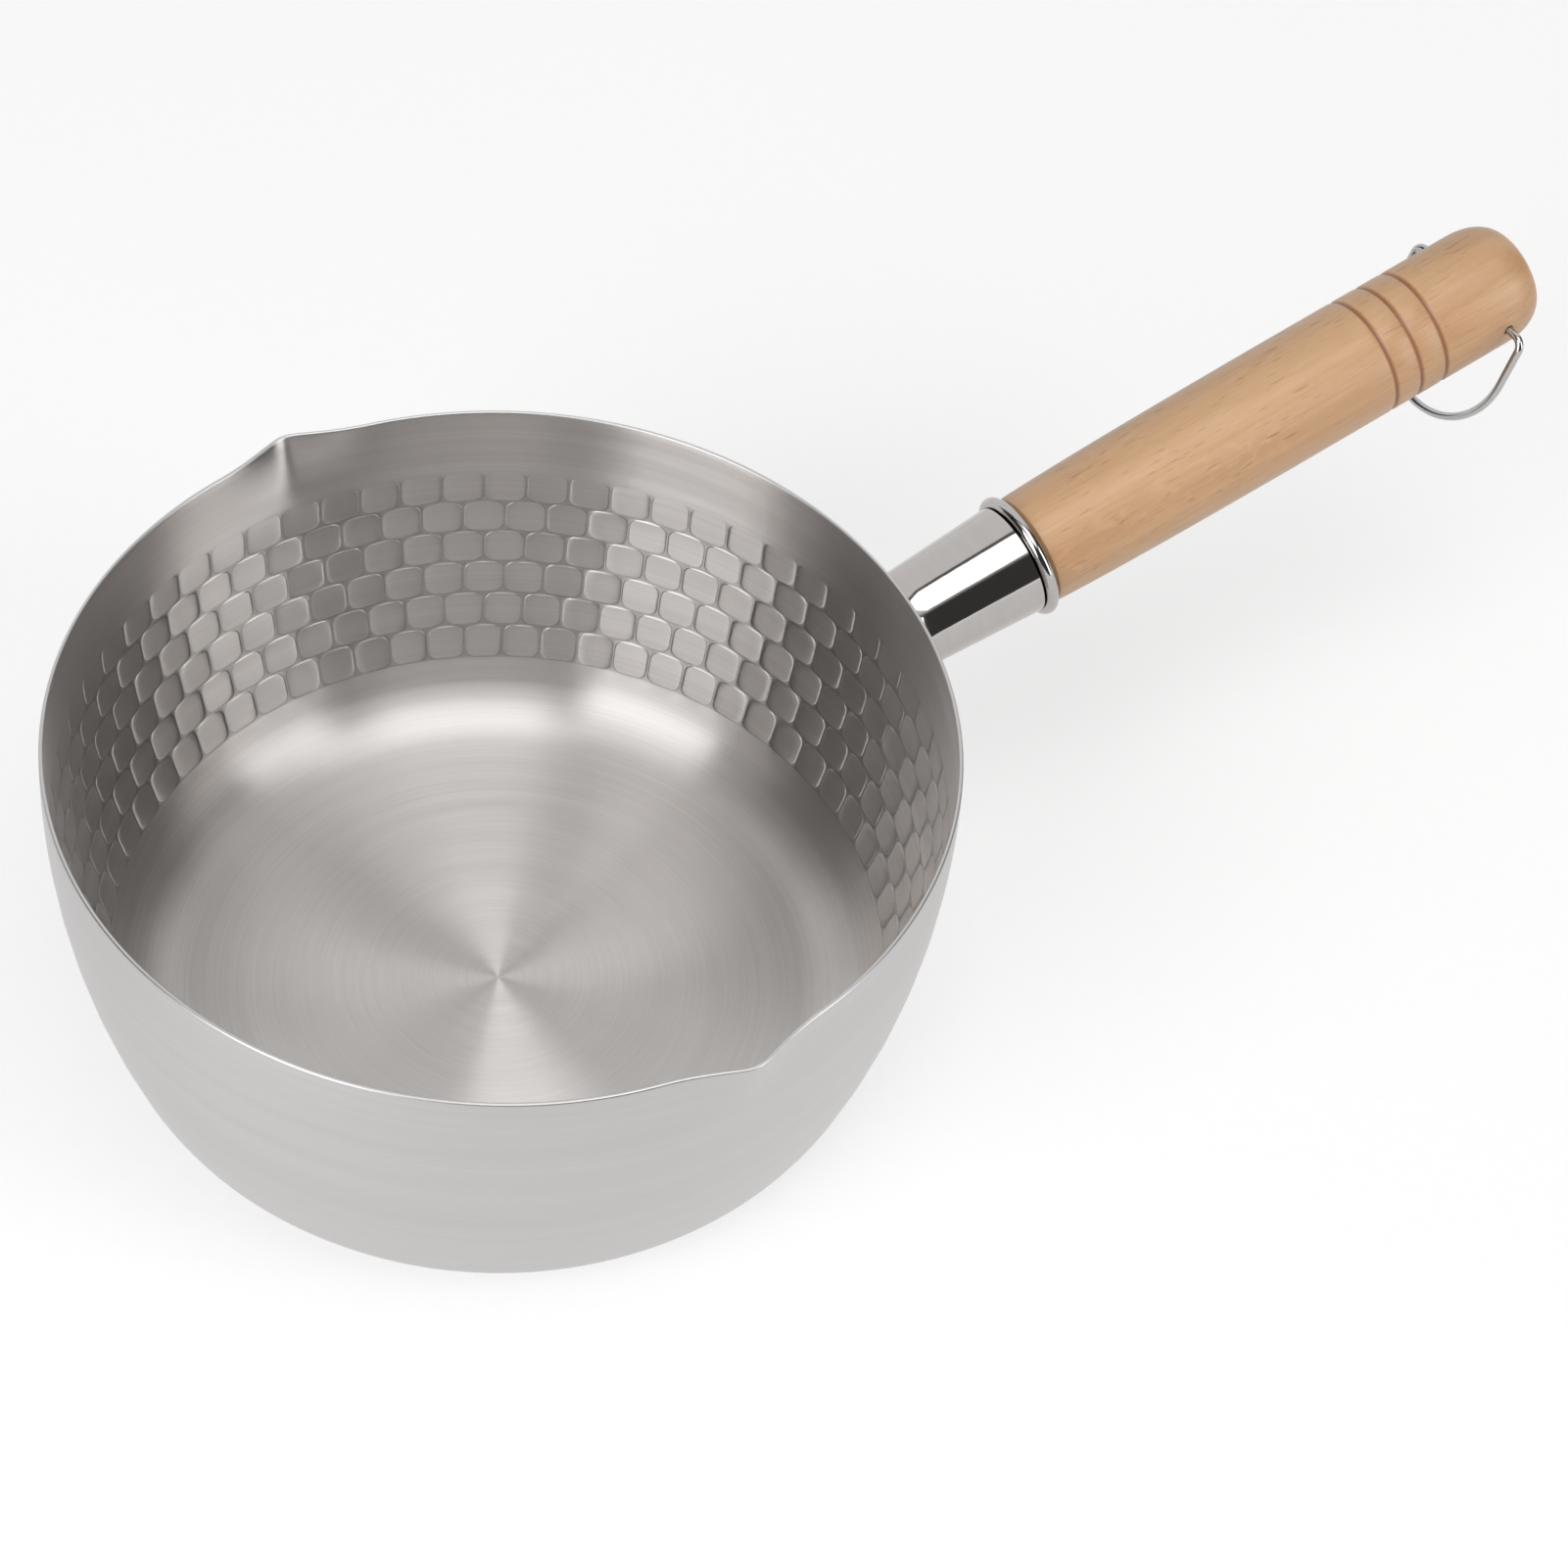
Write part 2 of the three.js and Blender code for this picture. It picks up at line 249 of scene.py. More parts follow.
# %% Trees with named inputs
def add_sockets(tree, way, sockets):
    for label, kind in sockets.items():
        tree.interface.new_socket(label, in_out=way, socket_type="NodeSocket" + kind)


def tree_inputs(tree, sockets):
    """Gives a tree its named inputs and returns them by name, with numbers ready for formulas."""
    add_sockets(tree, "INPUT", sockets)
    source = tree.nodes.new("NodeGroupInput").outputs
    return {label: Num(tree, source[label]) if kind in ("Float", "Int") else source[label]
            for label, kind in sockets.items()}


def new_tree(name, sockets):
    """A geometry tree and its named inputs."""
    tree = bpy.data.node_groups.new(name, "GeometryNodeTree")
    add_sockets(tree, "OUTPUT", {"Geometry": "Geometry"})
    return tree, tree_inputs(tree, sockets)


def socket_kinds(values):
    """The kind of socket that suits each named value."""
    kinds = {int: "Int", float: "Float", bpy.types.Object: "Object", bpy.types.Material: "Material"}
    return {label: kinds[type(value)] for label, value in values.items()}


def point_value(tree, name):
    """A named number on the points that the next node works on."""
    return out(tree, "GeometryNodeInputNamedAttribute", {"Name": name}, {"data_type": "FLOAT"}, "Attribute")


def keep_value(tree, mesh, name, value):
    """Stores a number on the points of a grid, before they move, under a name that a material can read."""
    inputs = {"Geometry": mesh, "Name": name, "Value": value}
    return out(tree, "GeometryNodeStoreNamedAttribute", inputs, {"data_type": "FLOAT", "domain": "POINT"})


# %% The grid that every turned piece starts from
def wrapped_grid(tree, profile, columns):
    """A flat grid whose rows belong to the outline's points. Gives its mesh, column and row sampler."""
    outline = out(tree, "GeometryNodeObjectInfo", {"Object": profile}, output="Geometry")
    size = put(tree, "GeometryNodeAttributeDomainSize", {"Geometry": outline}, {"component": "MESH"})
    rows = Num(tree, size.outputs["Point Count"])
    spans = {"Size X": rows - 1, "Size Y": columns, "Vertices X": rows, "Vertices Y": columns + 1}
    grid = out(tree, "GeometryNodeMeshGrid", spans, output="Mesh")
    position = out(tree, "GeometryNodeInputPosition")
    across, along, _ = split(tree, position)
    row = (across + (rows - 1) * 0.5 + 0.5).floor()
    column = (along + columns * 0.5 + 0.5).floor()

    def sample(name):
        """What the outline's point of this row holds under a name."""
        value, kind = (position, "FLOAT_VECTOR") if name == "position" else (point_value(tree, name), "FLOAT")
        inputs = {"Geometry": outline, "Value": value, "Index": row}
        return out(tree, "GeometryNodeSampleIndex", inputs, {"data_type": kind, "domain": "POINT"}, "Value")

    return grid, column, sample


# %% Closing a surface and giving it a finish
SEAM_GAP = 1e-6


def close_and_finish(tree, mesh, material, second=None):
    """Welds the seam and the poles, smooths the shading, sets the finish and ends the tree.

    A second finish goes to the points whose kept value "second" is one."""
    mesh = out(tree, "GeometryNodeMergeByDistance", {"Geometry": mesh, "Distance": SEAM_GAP})
    mesh = out(tree, "GeometryNodeSetShadeSmooth", {"Geometry": mesh})
    mesh = out(tree, "GeometryNodeRealizeInstances", {"Geometry": mesh})
    mesh = out(tree, "GeometryNodeSetMaterial", {"Geometry": mesh, "Material": material})
    if second is not None:
        chosen = Num(tree, point_value(tree, "second")).above(0.5)
        inputs = {"Geometry": mesh, "Selection": chosen, "Material": second}
        mesh = out(tree, "GeometryNodeSetMaterial", inputs)
    put(tree, "NodeGroupOutput", {"Geometry": mesh})


# %% From a tree to a plain mesh
def evaluated_mesh(piece):
    """What a piece's modifiers make of it, as a plain mesh."""
    bpy.context.view_layer.update()
    evaluated = piece.evaluated_get(bpy.context.evaluated_depsgraph_get())
    return bpy.data.meshes.new_from_object(evaluated)


def face_outwards(piece):
    """Turns a closed mesh the right way out if its volume comes out negative."""
    work = bmesh.new()
    work.from_mesh(piece.data)
    if work.calc_volume(signed=True) < 0:
        bmesh.ops.reverse_faces(work, faces=work.faces)
        work.to_mesh(piece.data)
    work.free()


def grow(name, tree, inputs):
    """Runs a geometry tree with these inputs and returns the result as a plain mesh object."""
    start = add_object(name + "_tree", bpy.data.meshes.new(name + "_tree"))
    modifier = start.modifiers.new("grow", "NODES")
    modifier.node_group = tree
    for item in tree.interface.items_tree:
        if item.in_out == "INPUT":
            modifier[item.identifier] = inputs[item.name]
    mesh = evaluated_mesh(start)
    mesh.name = name
    bpy.data.objects.remove(start)
    made = add_object(name, mesh)
    face_outwards(made)
    print(name, "has", len(mesh.polygons), "faces")
    return made


# %% Tying a piece to the frame
def settle(piece, body, node, sharp_from=None):
    """Ties a finished piece to its body and hides the solid that it stands for.

    Edges that are sharper than sharp_from, in degrees, stay sharp in the shading."""
    if sharp_from is not None:
        piece.data.set_sharp_from_angle(angle=radians(sharp_from))
    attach(piece, body)
    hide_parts(node)


# %% [markdown]
# The bowl
# The bowl is pressed from one sheet of stainless steel: a flat base, a round corner, and a wall that is one
# long shallow curve. Its inside has six rows of flat hammered pads, set like bricks, with narrow grooves
# between them; its outside is smooth. A bump map alone could fake the pads, but then the wall would stay a
# smooth curve, so the flat pads and their grooves are real geometry here. The grid's columns are drawn
# together at each half pad, because the bricks' upright edges fall there in one row or the next.
# Each pad is as flat as a hammer leaves it, and each is tipped a little differently. The top row fades out
# upwards, because the hammer strikes less deep near the rim.

# %% Bowl sizes
RIM_RADIUS = 100 * MM
BOWL_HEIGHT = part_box("pot_bowl")[1].z
BOWL_SHEET = 1 * MM
CORNER_RADIUS = 20.2 * MM
WALL_CURVE_RADIUS = 209 * MM
RIM_LEAN = radians(2.7)
RIM_ROUND = 0.42 * MM
SPOUT_REACH = 3.8 * MM
SPOUT_HALF_WIDTH = 19.5 * MM
SPOUT_DROP = 22 * MM
SPOUT_CURVE = 1.5
SPOUT_FOLD = 0.13

wall_excess = WALL_CURVE_RADIUS - CORNER_RADIUS
corner_end = -asin((BOWL_HEIGHT - CORNER_RADIUS - WALL_CURVE_RADIUS * sin(RIM_LEAN)) / wall_excess)
wall_centre = (RIM_RADIUS - WALL_CURVE_RADIUS * cos(RIM_LEAN),
               CORNER_RADIUS - wall_excess * sin(corner_end))
corner_centre = (wall_centre[0] + wall_excess * cos(corner_end), CORNER_RADIUS)
print("flat base radius", round(corner_centre[0] / MM, 2), "mm")

# %% Sizes of the hammered band
PAD_COLUMNS = 62
PAD_ROWS = 6
PAD_PHASE = 0.32
BAND_BOTTOM = 14.2 * MM
BAND_TOP = 68.4 * MM
PAD_HEIGHT = (BAND_TOP - BAND_BOTTOM) / PAD_ROWS
PAD_CORNER = 2.5 * MM
PAD_WEAVE = 0.012
PAD_FLATNESS = 0.7
PAD_TIP = radians(0.5)
PAD_SEED = 4
GAP_DEPTH = 0.1 * MM
GAP_HALF_WIDTH = 0.45 * MM
TOP_FADE = 0.2
BOTTOM_FADE = 0.04
CROWDING = 0.75
STEPS_PER_HALF_PAD = 6
STEPS_PER_PAD_ROW = 12
print("a pad is", round(PAD_HEIGHT / MM, 2), "mm high")


# %% The curve of the bowl's side
def side_angle(height, offset):
    """The angle of the bowl's side at a height, and the arc that it lies on."""
    reach = CORNER_RADIUS + offset
    joint = CORNER_RADIUS + reach * sin(corner_end)
    if height < joint:
        return asin(max(-1.0, (height - CORNER_RADIUS) / reach)), corner_centre, reach
    reach = WALL_CURVE_RADIUS + offset
    return asin((height - wall_centre[1]) / reach), wall_centre, reach


def side_points(heights, offset):
    points = []
    for height in heights:
        angle, centre, reach = side_angle(height, offset)
        points.append((centre[0] + reach * cos(angle), centre[1] + reach * sin(angle)))
    return points


def crowded(share):
    """Draws evenly spaced shares of a span towards both its ends."""
    return share - CROWDING * sin(TURN * share) / TURN


half_way_up = side_points([BOWL_HEIGHT / 2], 0)[0]
print("half way up, the wall stands", round(half_way_up[0] / MM, 1), "mm from the axis")

# %% The bowl's outside and inside as points
BASE_STEPS = 2
FLOOR_STEPS = 4
CORNER_STEPS = 8
WALL_STEPS = 5
LIP_STEPS = 9
RIM_STEPS = 6


def outer_points():
    """The outside, up to the rim's inner edge."""
    corner_top = CORNER_RADIUS + CORNER_RADIUS * sin(corner_end)
    spout_foot = BOWL_HEIGHT - SPOUT_DROP
    rim_edge = BOWL_HEIGHT - RIM_ROUND
    base = line((0, 0), (corner_centre[0], 0), BASE_STEPS)
    corner = arc(corner_centre, (CORNER_RADIUS, CORNER_RADIUS), -pi / 2, corner_end, CORNER_STEPS)[1:]
    wall = side_points(np.linspace(corner_top, spout_foot, WALL_STEPS + 1)[1:], 0)
    lip = side_points(np.linspace(spout_foot, rim_edge, LIP_STEPS + 1)[1:], 0)
    rim_out, rim_in = [side_points([rim_edge], offset)[0][0] for offset in (0, -BOWL_SHEET)]
    rim = arc(((rim_out + rim_in) / 2, rim_edge), ((rim_out - rim_in) / 2, RIM_ROUND), 0, pi, RIM_STEPS)
    return base + corner + wall + lip + rim[1:-1]


def inner_points(rows):
    """The inside from the rim down, with the hammered rows, and how many points lie above those."""
    reach = CORNER_RADIUS - BOWL_SHEET
    lip_heights = np.linspace(BOWL_HEIGHT - RIM_ROUND, BAND_TOP, LIP_STEPS + 1)[:-1]
    band = side_points(BAND_BOTTOM + PAD_HEIGHT * rows, -BOWL_SHEET)
    band_end = side_angle(BAND_BOTTOM, -BOWL_SHEET)[0]
    corner = arc(corner_centre, (reach, reach), band_end, -pi / 2, CORNER_STEPS)[1:]
    floor = line((corner_centre[0], BOWL_SHEET), (0, BOWL_SHEET), FLOOR_STEPS)[1:]
    return side_points(lip_heights, -BOWL_SHEET) + band + corner + floor, len(lip_heights)


# %% The bowl's outline, from the middle of the base over the rim to the middle of the floor
def bowl_outline():
    rows = np.array([PAD_ROWS - i - crowded(j / STEPS_PER_PAD_ROW)
                     for i in range(PAD_ROWS) for j in range(STEPS_PER_PAD_ROW)] + [0.0])
    outside = outer_points()
    inside, above = inner_points(rows)
    points = outside + inside
    row_values = [-1.0] * (len(outside) + above) + list(rows)
    row_values += [-1.0] * (len(points) - len(row_values))
    tilt = [side_angle(height, -BOWL_SHEET)[0] if row >= 0 else 0.0
            for (_, height), row in zip(points, row_values)]
    inner = [0.0] * len(outside) + [1.0] * len(inside)
    run = np.cumsum([0.0] + [hypot(b[0] - a[0], b[1] - a[1]) for a, b in zip(points, points[1:])])
    return outline_object("bowl_outline", points, pad_row=row_values, wall_angle=tilt, inside=inner, run=run)


# %% [markdown]
# Hammered pads and spouts
# The bowl's tree first finds the pad that each point of the grid belongs to, and moves the point to that
# pad's flat face or into the groove round it. Then it presses the two spouts outwards. A spout has a fold in
# its middle and flanks that run out along the rim, and it fades away down the wall.

# %% Where a point lies on its pad
ROUND_OFF = 0.001


def pad_inset(x, y, width, height, corner):
    """How far a point lies inside the rounded edge of its pad, from its place on the pad."""
    edge_x = abs(x) - width * 0.5 + corner
    edge_y = abs(y) - height * 0.5 + corner
    out_x, out_y = edge_x.most(0.0), edge_y.most(0.0)
    return corner - (out_x * out_x + out_y * out_y).root() - edge_x.most(edge_y).least(0.0)


def pad_place(pads_round, row, radius, columns, height, weave):
    """The pad at a place on the wall: its column and row, its width, and the place on the pad itself.

    The weave lets each pad bulge up and down into the gaps of the rows next to it."""
    bulge = (pads_round * TURN).cos() * (row * pi).cos() * weave
    row = row - bulge * row.between(0.0, 0.5) * row.between(PAD_ROWS - 0.5, PAD_ROWS, 1.0, 0.0)
    row_number = (row + ROUND_OFF).floor()
    shifted = pads_round + (row_number * 0.5).fraction()
    width = radius * TURN / columns
    x = (shifted.fraction() - 0.5) * width
    y = (row - row_number - 0.5) * height
    return shifted.floor(), row_number, width, x, y


# %% Pads and spouts as formulas
def hammered_pads(tree, value, pads_round, row, radius):
    """How far the sheet is moved outwards by the pads."""
    columns, pad_height = value["Pad Columns"], value["Pad Height"]
    column_number, row_number, pad_width, x, y = pad_place(
        pads_round, row, radius, columns, pad_height, value["Pad Weave"])
    inset = pad_inset(x, y, pad_width, pad_height, value["Pad Corner"])
    gap = inset.between(0.0, value["Gap Half Width"], 1.0, 0.0)
    pad_number = (column_number / columns).fraction() * columns
    key = combine(tree, pad_number, row_number, value["Seed"])
    chance = out(tree, "ShaderNodeTexWhiteNoise", {"Vector": key}, {"noise_dimensions": "3D"}, "Color")
    tip_x, tip_y, _ = [(number - 0.5) * 2 * value["Pad Tip"] for number in split(tree, chance)]
    half_width = pad_width * 0.5
    crown = (half_width * half_width - x * x) / (radius * 2)
    face = x * tip_x + y * tip_y - crown * value["Pad Flatness"]
    return face * (1 - gap) + gap * value["Gap Depth"]


def spout_push(value, angle, height):
    """How far a point is pressed outwards by the nearer spout."""
    quarter = angle.cos().angle_over(abs(angle.sin()))
    across = (abs(quarter) * value["Rim Radius"] / value["Spout Half Width"]).least(1.0)
    up = ((height - value["Rim Height"]) / value["Spout Drop"] + 1).clamp()
    fold = value["Spout Fold"]
    flank = (across * across + fold * fold).root() - fold
    flank = 1 - flank / ((fold * fold + 1).root() - fold)
    return flank * flank * up ** value["Spout Curve"] * value["Spout Reach"]


# %% The bowl's tree
def bowl_tree(inputs):
    tree, value = new_tree("hammered_bowl", socket_kinds(inputs))
    steps = value["Pad Columns"] * 2 * STEPS_PER_HALF_PAD
    grid, column, sample = wrapped_grid(tree, value["Profile"], steps)
    half = (column / STEPS_PER_HALF_PAD + ROUND_OFF).floor()
    share = column / STEPS_PER_HALF_PAD - half
    pads_round = (half + share - (share * TURN).sin() * (CROWDING / TURN)) * 0.5
    angle = (pads_round + value["Pad Phase"]) / value["Pad Columns"] * TURN
    radius, _, height = split(tree, sample("position"))
    row, tilt = Num(tree, sample("pad_row")), Num(tree, sample("wall_angle"))
    fade = row.between(0.0, BOTTOM_FADE) * row.between(PAD_ROWS - TOP_FADE, PAD_ROWS, 1.0, 0.0)
    moved = hammered_pads(tree, value, pads_round, row.least(PAD_ROWS - ROUND_OFF).most(0.0), radius)
    moved = moved * row.above(-0.5) * fade
    wall_height = height + moved * tilt.sin()
    pressed = radius + moved * tilt.cos() + spout_push(value, angle, wall_height)
    place = combine(tree, pressed * angle.cos(), pressed * angle.sin(), wall_height)
    grid = keep_value(tree, grid, "run", sample("run"))
    grid = keep_value(tree, grid, "second", sample("inside"))
    mesh = out(tree, "GeometryNodeSetPosition", {"Geometry": grid, "Position": place})
    close_and_finish(tree, mesh, value["Outside"], value["Inside"])
    return tree


# %% [markdown]
# Marks that several finishes share
# Brushed and polished steel carry fine lines that run round the piece, left by the abrasive belt. They come
# from a noise that is squeezed along one coordinate and wrapped round the axis by sine and cosine, so that it
# has no seam. The pot, the socket, the weld and the wire all use the lines at different strengths, so
# they are one shader group, placed in each material with its own values.

# %% Shader group
FINE_DETAIL = 3.0
FINE_ROUGHNESS = 0.6
BROAD_TURN = 0.5
BROAD_STEP = 0.12
NEAR_AXIS = 1e-5


def noise(tree, vector, detail=2.0, roughness=0.5):
    inputs = {"Vector": vector, "Scale": 1.0, "Detail": detail, "Roughness": roughness}
    return Num(tree, out(tree, "ShaderNodeTexNoise", inputs, {"noise_dimensions": "3D"}))


def brush_lines_group():
    """Fine and broad lines round the z axis of a position, at even steps of a run along the surface."""
    tree = bpy.data.node_groups.new("brush_lines", "ShaderNodeTree")
    inputs = {"Position": "Vector", "Run": "Float", "Spacing": "Float", "Length": "Float"}
    value = tree_inputs(tree, inputs)
    add_sockets(tree, "OUTPUT", {"Fine": "Float", "Broad": "Float"})
    x, y, _ = split(tree, value["Position"])
    radius = (x * x + y * y).root() + NEAR_AXIS
    turn_x, turn_y = x / radius / value["Length"], y / radius / value["Length"]
    steps = value["Run"] / value["Spacing"]
    fine = noise(tree, combine(tree, turn_x, turn_y, steps), FINE_DETAIL, FINE_ROUGHNESS)
    broad = noise(tree, combine(tree, turn_x * BROAD_TURN, turn_y * BROAD_TURN, steps * BROAD_STEP))
    put(tree, "NodeGroupOutput", {"Fine": fine, "Broad": broad})
    return tree


brush_lines = brush_lines_group()
print("shader group:", brush_lines.name)


# %% Helpers for materials
def new_material(name):
    material = bpy.data.materials.new(name)
    material.use_nodes = True
    return material, material.node_tree, material.node_tree.nodes["Principled BSDF"]


def named_value(tree, name):
    settings = {"attribute_name": name, "attribute_type": "GEOMETRY"}
    return Num(tree, out(tree, "ShaderNodeAttribute", None, settings, "Fac"))


def own_place(tree, turn=(0, 0, 0), centre=(0, 0, 0)):
    """Object coordinates, turned and then moved so that the centre comes to zero."""
    place = out(tree, "ShaderNodeTexCoord", output="Object")
    inputs = {"Vector": place, "Rotation": turn, "Location": centre}
    return out(tree, "ShaderNodeMapping", inputs, {"vector_type": "POINT"})


def lines_on(tree, place, run, spacing, length):
    """The fine and the broad brush lines at a place."""
    inputs = {"Position": place, "Run": run, "Spacing": spacing, "Length": length}
    group = put(tree, "ShaderNodeGroup", inputs, {"node_tree": brush_lines})
    return [Num(tree, group.outputs[label]) for label in ("Fine", "Broad")]


# A Mix node has sockets for every kind of value, and these are the places of its colours
COLOUR_A, COLOUR_B, COLOUR_RESULT = 6, 7, 2


def blend_colours(tree, share, *colours):
    first, second = [(*colour, 1) if isinstance(colour, tuple) else colour for colour in colours]
    inputs = {0: share, COLOUR_A: first, COLOUR_B: second}
    return out(tree, "ShaderNodeMix", inputs, {"data_type": "RGBA"}, COLOUR_RESULT)


def bumped(tree, height, distance, strength=1.0):
    return out(tree, "ShaderNodeBump", {"Height": height, "Distance": distance, "Strength": strength})


# %% [markdown]
# The bowl's satin steel
# The bowl is brushed in circles, so its tiny scratches throw the light sideways, across the marks: that
# gives the two bright wedges that meet in the middle of the floor, and the upright bands on the wall. An
# anisotropic shader does the same. Its tangent runs round the pot, from the object's own coordinates, and a
# quarter turn points the wide side of the highlight across the marks. Inside, the finish repeats the formula
# of the pads' edges, to sharpen the grooves and to paint shade into them as a darker colour.

# %% The pads' edges in the finish
PAD_EDGE_START = 0.16 * MM
PAD_EDGE_END = 0.42 * MM
PAD_EDGE_HEIGHT = 0.07 * MM
# How much and how dark the painted shade in the grooves between the pads is
PAD_EDGE_SHADE = 0.3
PAD_EDGE_DARK = 0.3


def pad_edges(x, y, z):
    """One in the gaps between the pads and zero on them, from a place on the bowl."""
    radius = (x * x + y * y).root()
    pads_round = y.angle_over(x) * (PAD_COLUMNS / TURN) - PAD_PHASE
    row = (z - BAND_BOTTOM) / PAD_HEIGHT
    _, _, width, pad_x, pad_y = pad_place(pads_round, row, radius, PAD_COLUMNS, PAD_HEIGHT, PAD_WEAVE)
    inset = pad_inset(pad_x, pad_y, width, PAD_HEIGHT, PAD_CORNER)
    in_band = row.above(0.0) * row.between(PAD_ROWS - TOP_FADE, PAD_ROWS, 1.0, 0.0)
    return inset.between(PAD_EDGE_START, PAD_EDGE_END, 1.0, 0.0) * in_band


# %% Satin steel
LINE_SPACING = 0.45 * MM
LINE_LENGTH = 0.9
LINE_HEIGHT = 0.006 * MM
FINE_TONE = 0.6
FINE_HEIGHT = 0.7
FINE_STREAKS = 0.4
TONE_RANGE = (0.25, 0.75)
ACROSS_THE_MARKS = 0.25


def satin_finish(name, dark, light, roughness, streaks, anisotropy, pads):
    """Steel brushed in circles. Streaks is how much the roughness changes from line to line."""
    material, tree, shader = new_material(name)
    place = own_place(tree)
    x, y, z = split(tree, place)
    fine, broad = lines_on(tree, place, named_value(tree, "run"), LINE_SPACING, LINE_LENGTH)
    shade = (fine * FINE_TONE + broad * (1 - FINE_TONE)).between(*TONE_RANGE, smooth=False)
    steel = blend_colours(tree, shade, dark, light)
    relief = (fine * FINE_HEIGHT + broad * (1 - FINE_HEIGHT)) * LINE_HEIGHT
    if pads:
        edges = pad_edges(x, y, z)
        # Painted shade: the grooves between the pads get a darker colour where shade would fall into them
        painted_groove_shade = tuple(value * PAD_EDGE_DARK for value in dark)
        steel = blend_colours(tree, edges * PAD_EDGE_SHADE, steel, painted_groove_shade)
        relief = relief - edges * PAD_EDGE_HEIGHT
    feed_all(tree, shader, {
        "Base Color": steel, "Metallic": 1.0, "Normal": bumped(tree, relief, 1.0),
        "Roughness": roughness + ((broad - 0.5) + (fine - 0.5) * FINE_STREAKS) * streaks,
        "Tangent": combine(tree, y * -1, x, 0.0),
        "Anisotropic": anisotropy, "Anisotropic Rotation": ACROSS_THE_MARKS,
    })
    return material


brushed_inside = satin_finish("brushed_inside", (0.54, 0.517, 0.501), (0.665, 0.643, 0.627),
                              roughness=0.335, streaks=0.1, anisotropy=1.0, pads=True)
satin_outside = satin_finish("satin_outside", (0.52, 0.509, 0.505), (0.59, 0.578, 0.574),
                             roughness=0.38, streaks=0.06, anisotropy=0.45, pads=False)
print("bowl finishes:", brushed_inside.name, satin_outside.name)

# %% Bowl
bowl_inputs = {
    "Profile": bowl_outline(), "Outside": satin_outside, "Inside": brushed_inside,
    "Pad Columns": PAD_COLUMNS, "Pad Phase": PAD_PHASE, "Pad Height": PAD_HEIGHT, "Pad Corner": PAD_CORNER,
    "Pad Weave": PAD_WEAVE, "Pad Flatness": PAD_FLATNESS, "Pad Tip": PAD_TIP, "Seed": PAD_SEED,
    "Gap Depth": GAP_DEPTH, "Gap Half Width": GAP_HALF_WIDTH, "Rim Radius": RIM_RADIUS,
    "Rim Height": BOWL_HEIGHT, "Spout Reach": SPOUT_REACH, "Spout Half Width": SPOUT_HALF_WIDTH,
    "Spout Drop": SPOUT_DROP, "Spout Curve": SPOUT_CURVE, "Spout Fold": SPOUT_FOLD,
}
bowl = grow("bowl", bowl_tree(bowl_inputs), bowl_inputs)
settle(bowl, "pan", "pot_bowl")

# %% [markdown]
# The line of the handle
# Socket, weld, handle and screw share one sloping line that leaves the wall below the rim and rises outwards.
# One tree turns each of their outlines round that line. Two values on the outline let a row land on the pot:
# a row marked as a foot is cast back along the line until it meets the bowl's wall, and is then lifted off
# again by its own small distance. That way the socket and its weld fit the curved wall without any cutting.

# %% The handle's line
HANDLE_TILT = radians(12)
HANDLE_BELOW_RIM = 21.4 * MM
ALONG = Vector((cos(HANDLE_TILT), 0, sin(HANDLE_TILT)))
BELOW = Vector((sin(HANDLE_TILT), 0, -cos(HANDLE_TILT)))
SIDEWAYS = Vector((0, 1, 0))
ROOT = Vector((RIM_RADIUS, 0, BOWL_HEIGHT - HANDLE_BELOW_RIM))
print("handle's line starts at", [round(value, 4) for value in ROOT])


# %% Sums of vectors
def vector_math(tree, operation, first, second):
    return out(tree, "ShaderNodeVectorMath", {0: first, 1: second}, {"operation": operation})


def scaled(tree, vector, factor):
    return out(tree, "ShaderNodeVectorMath", {0: vector, "Scale": factor}, {"operation": "SCALE"})


def vector_sum(tree, *terms):
    """The sum of (vector, factor) terms."""
    total = scaled(tree, *terms[0])
    for term in terms[1:]:
        total = vector_math(tree, "ADD", total, scaled(tree, *term))
    return total


# %% The turning tree for the handle's pieces
TURNED_SOCKETS = {
    "Profile": "Object", "Columns": "Int", "Origin": "Vector", "Axis": "Vector", "Side": "Vector",
    "Carrier": "Object", "Material": "Material",
}


def turned_tree():
    tree, value = new_tree("turned_piece", TURNED_SOCKETS)
    grid, column, sample = wrapped_grid(tree, value["Profile"], value["Columns"])
    angle = column / value["Columns"] * TURN
    radius, _, height = split(tree, sample("position"))
    axis, side = value["Axis"], value["Side"]
    third = vector_math(tree, "CROSS_PRODUCT", axis, side)
    place = vector_sum(tree, (value["Origin"], 1.0), (axis, height), (side, angle.cos() * radius),
                       (third, angle.sin() * radius))
    wall = out(tree, "GeometryNodeObjectInfo", {"Object": value["Carrier"]}, output="Geometry")
    cast = {"Target Geometry": wall, "Source Position": place, "Ray Direction": scaled(tree, axis, -1.0)}
    landed = out(tree, "GeometryNodeRaycast", cast, output="Hit Position")
    landed = vector_sum(tree, (landed, 1.0), (axis, Num(tree, sample("lift"))))
    is_foot = Num(tree, sample("foot"))
    place = vector_sum(tree, (place, 1 - is_foot), (landed, is_foot))
    grid = keep_value(tree, grid, "mark", sample("mark"))
    mesh = out(tree, "GeometryNodeSetPosition", {"Geometry": grid, "Position": place})
    close_and_finish(tree, mesh, value["Material"])
    return tree


turned_pieces = turned_tree()
print("tree:", turned_pieces.name, "with inputs", list(TURNED_SOCKETS))


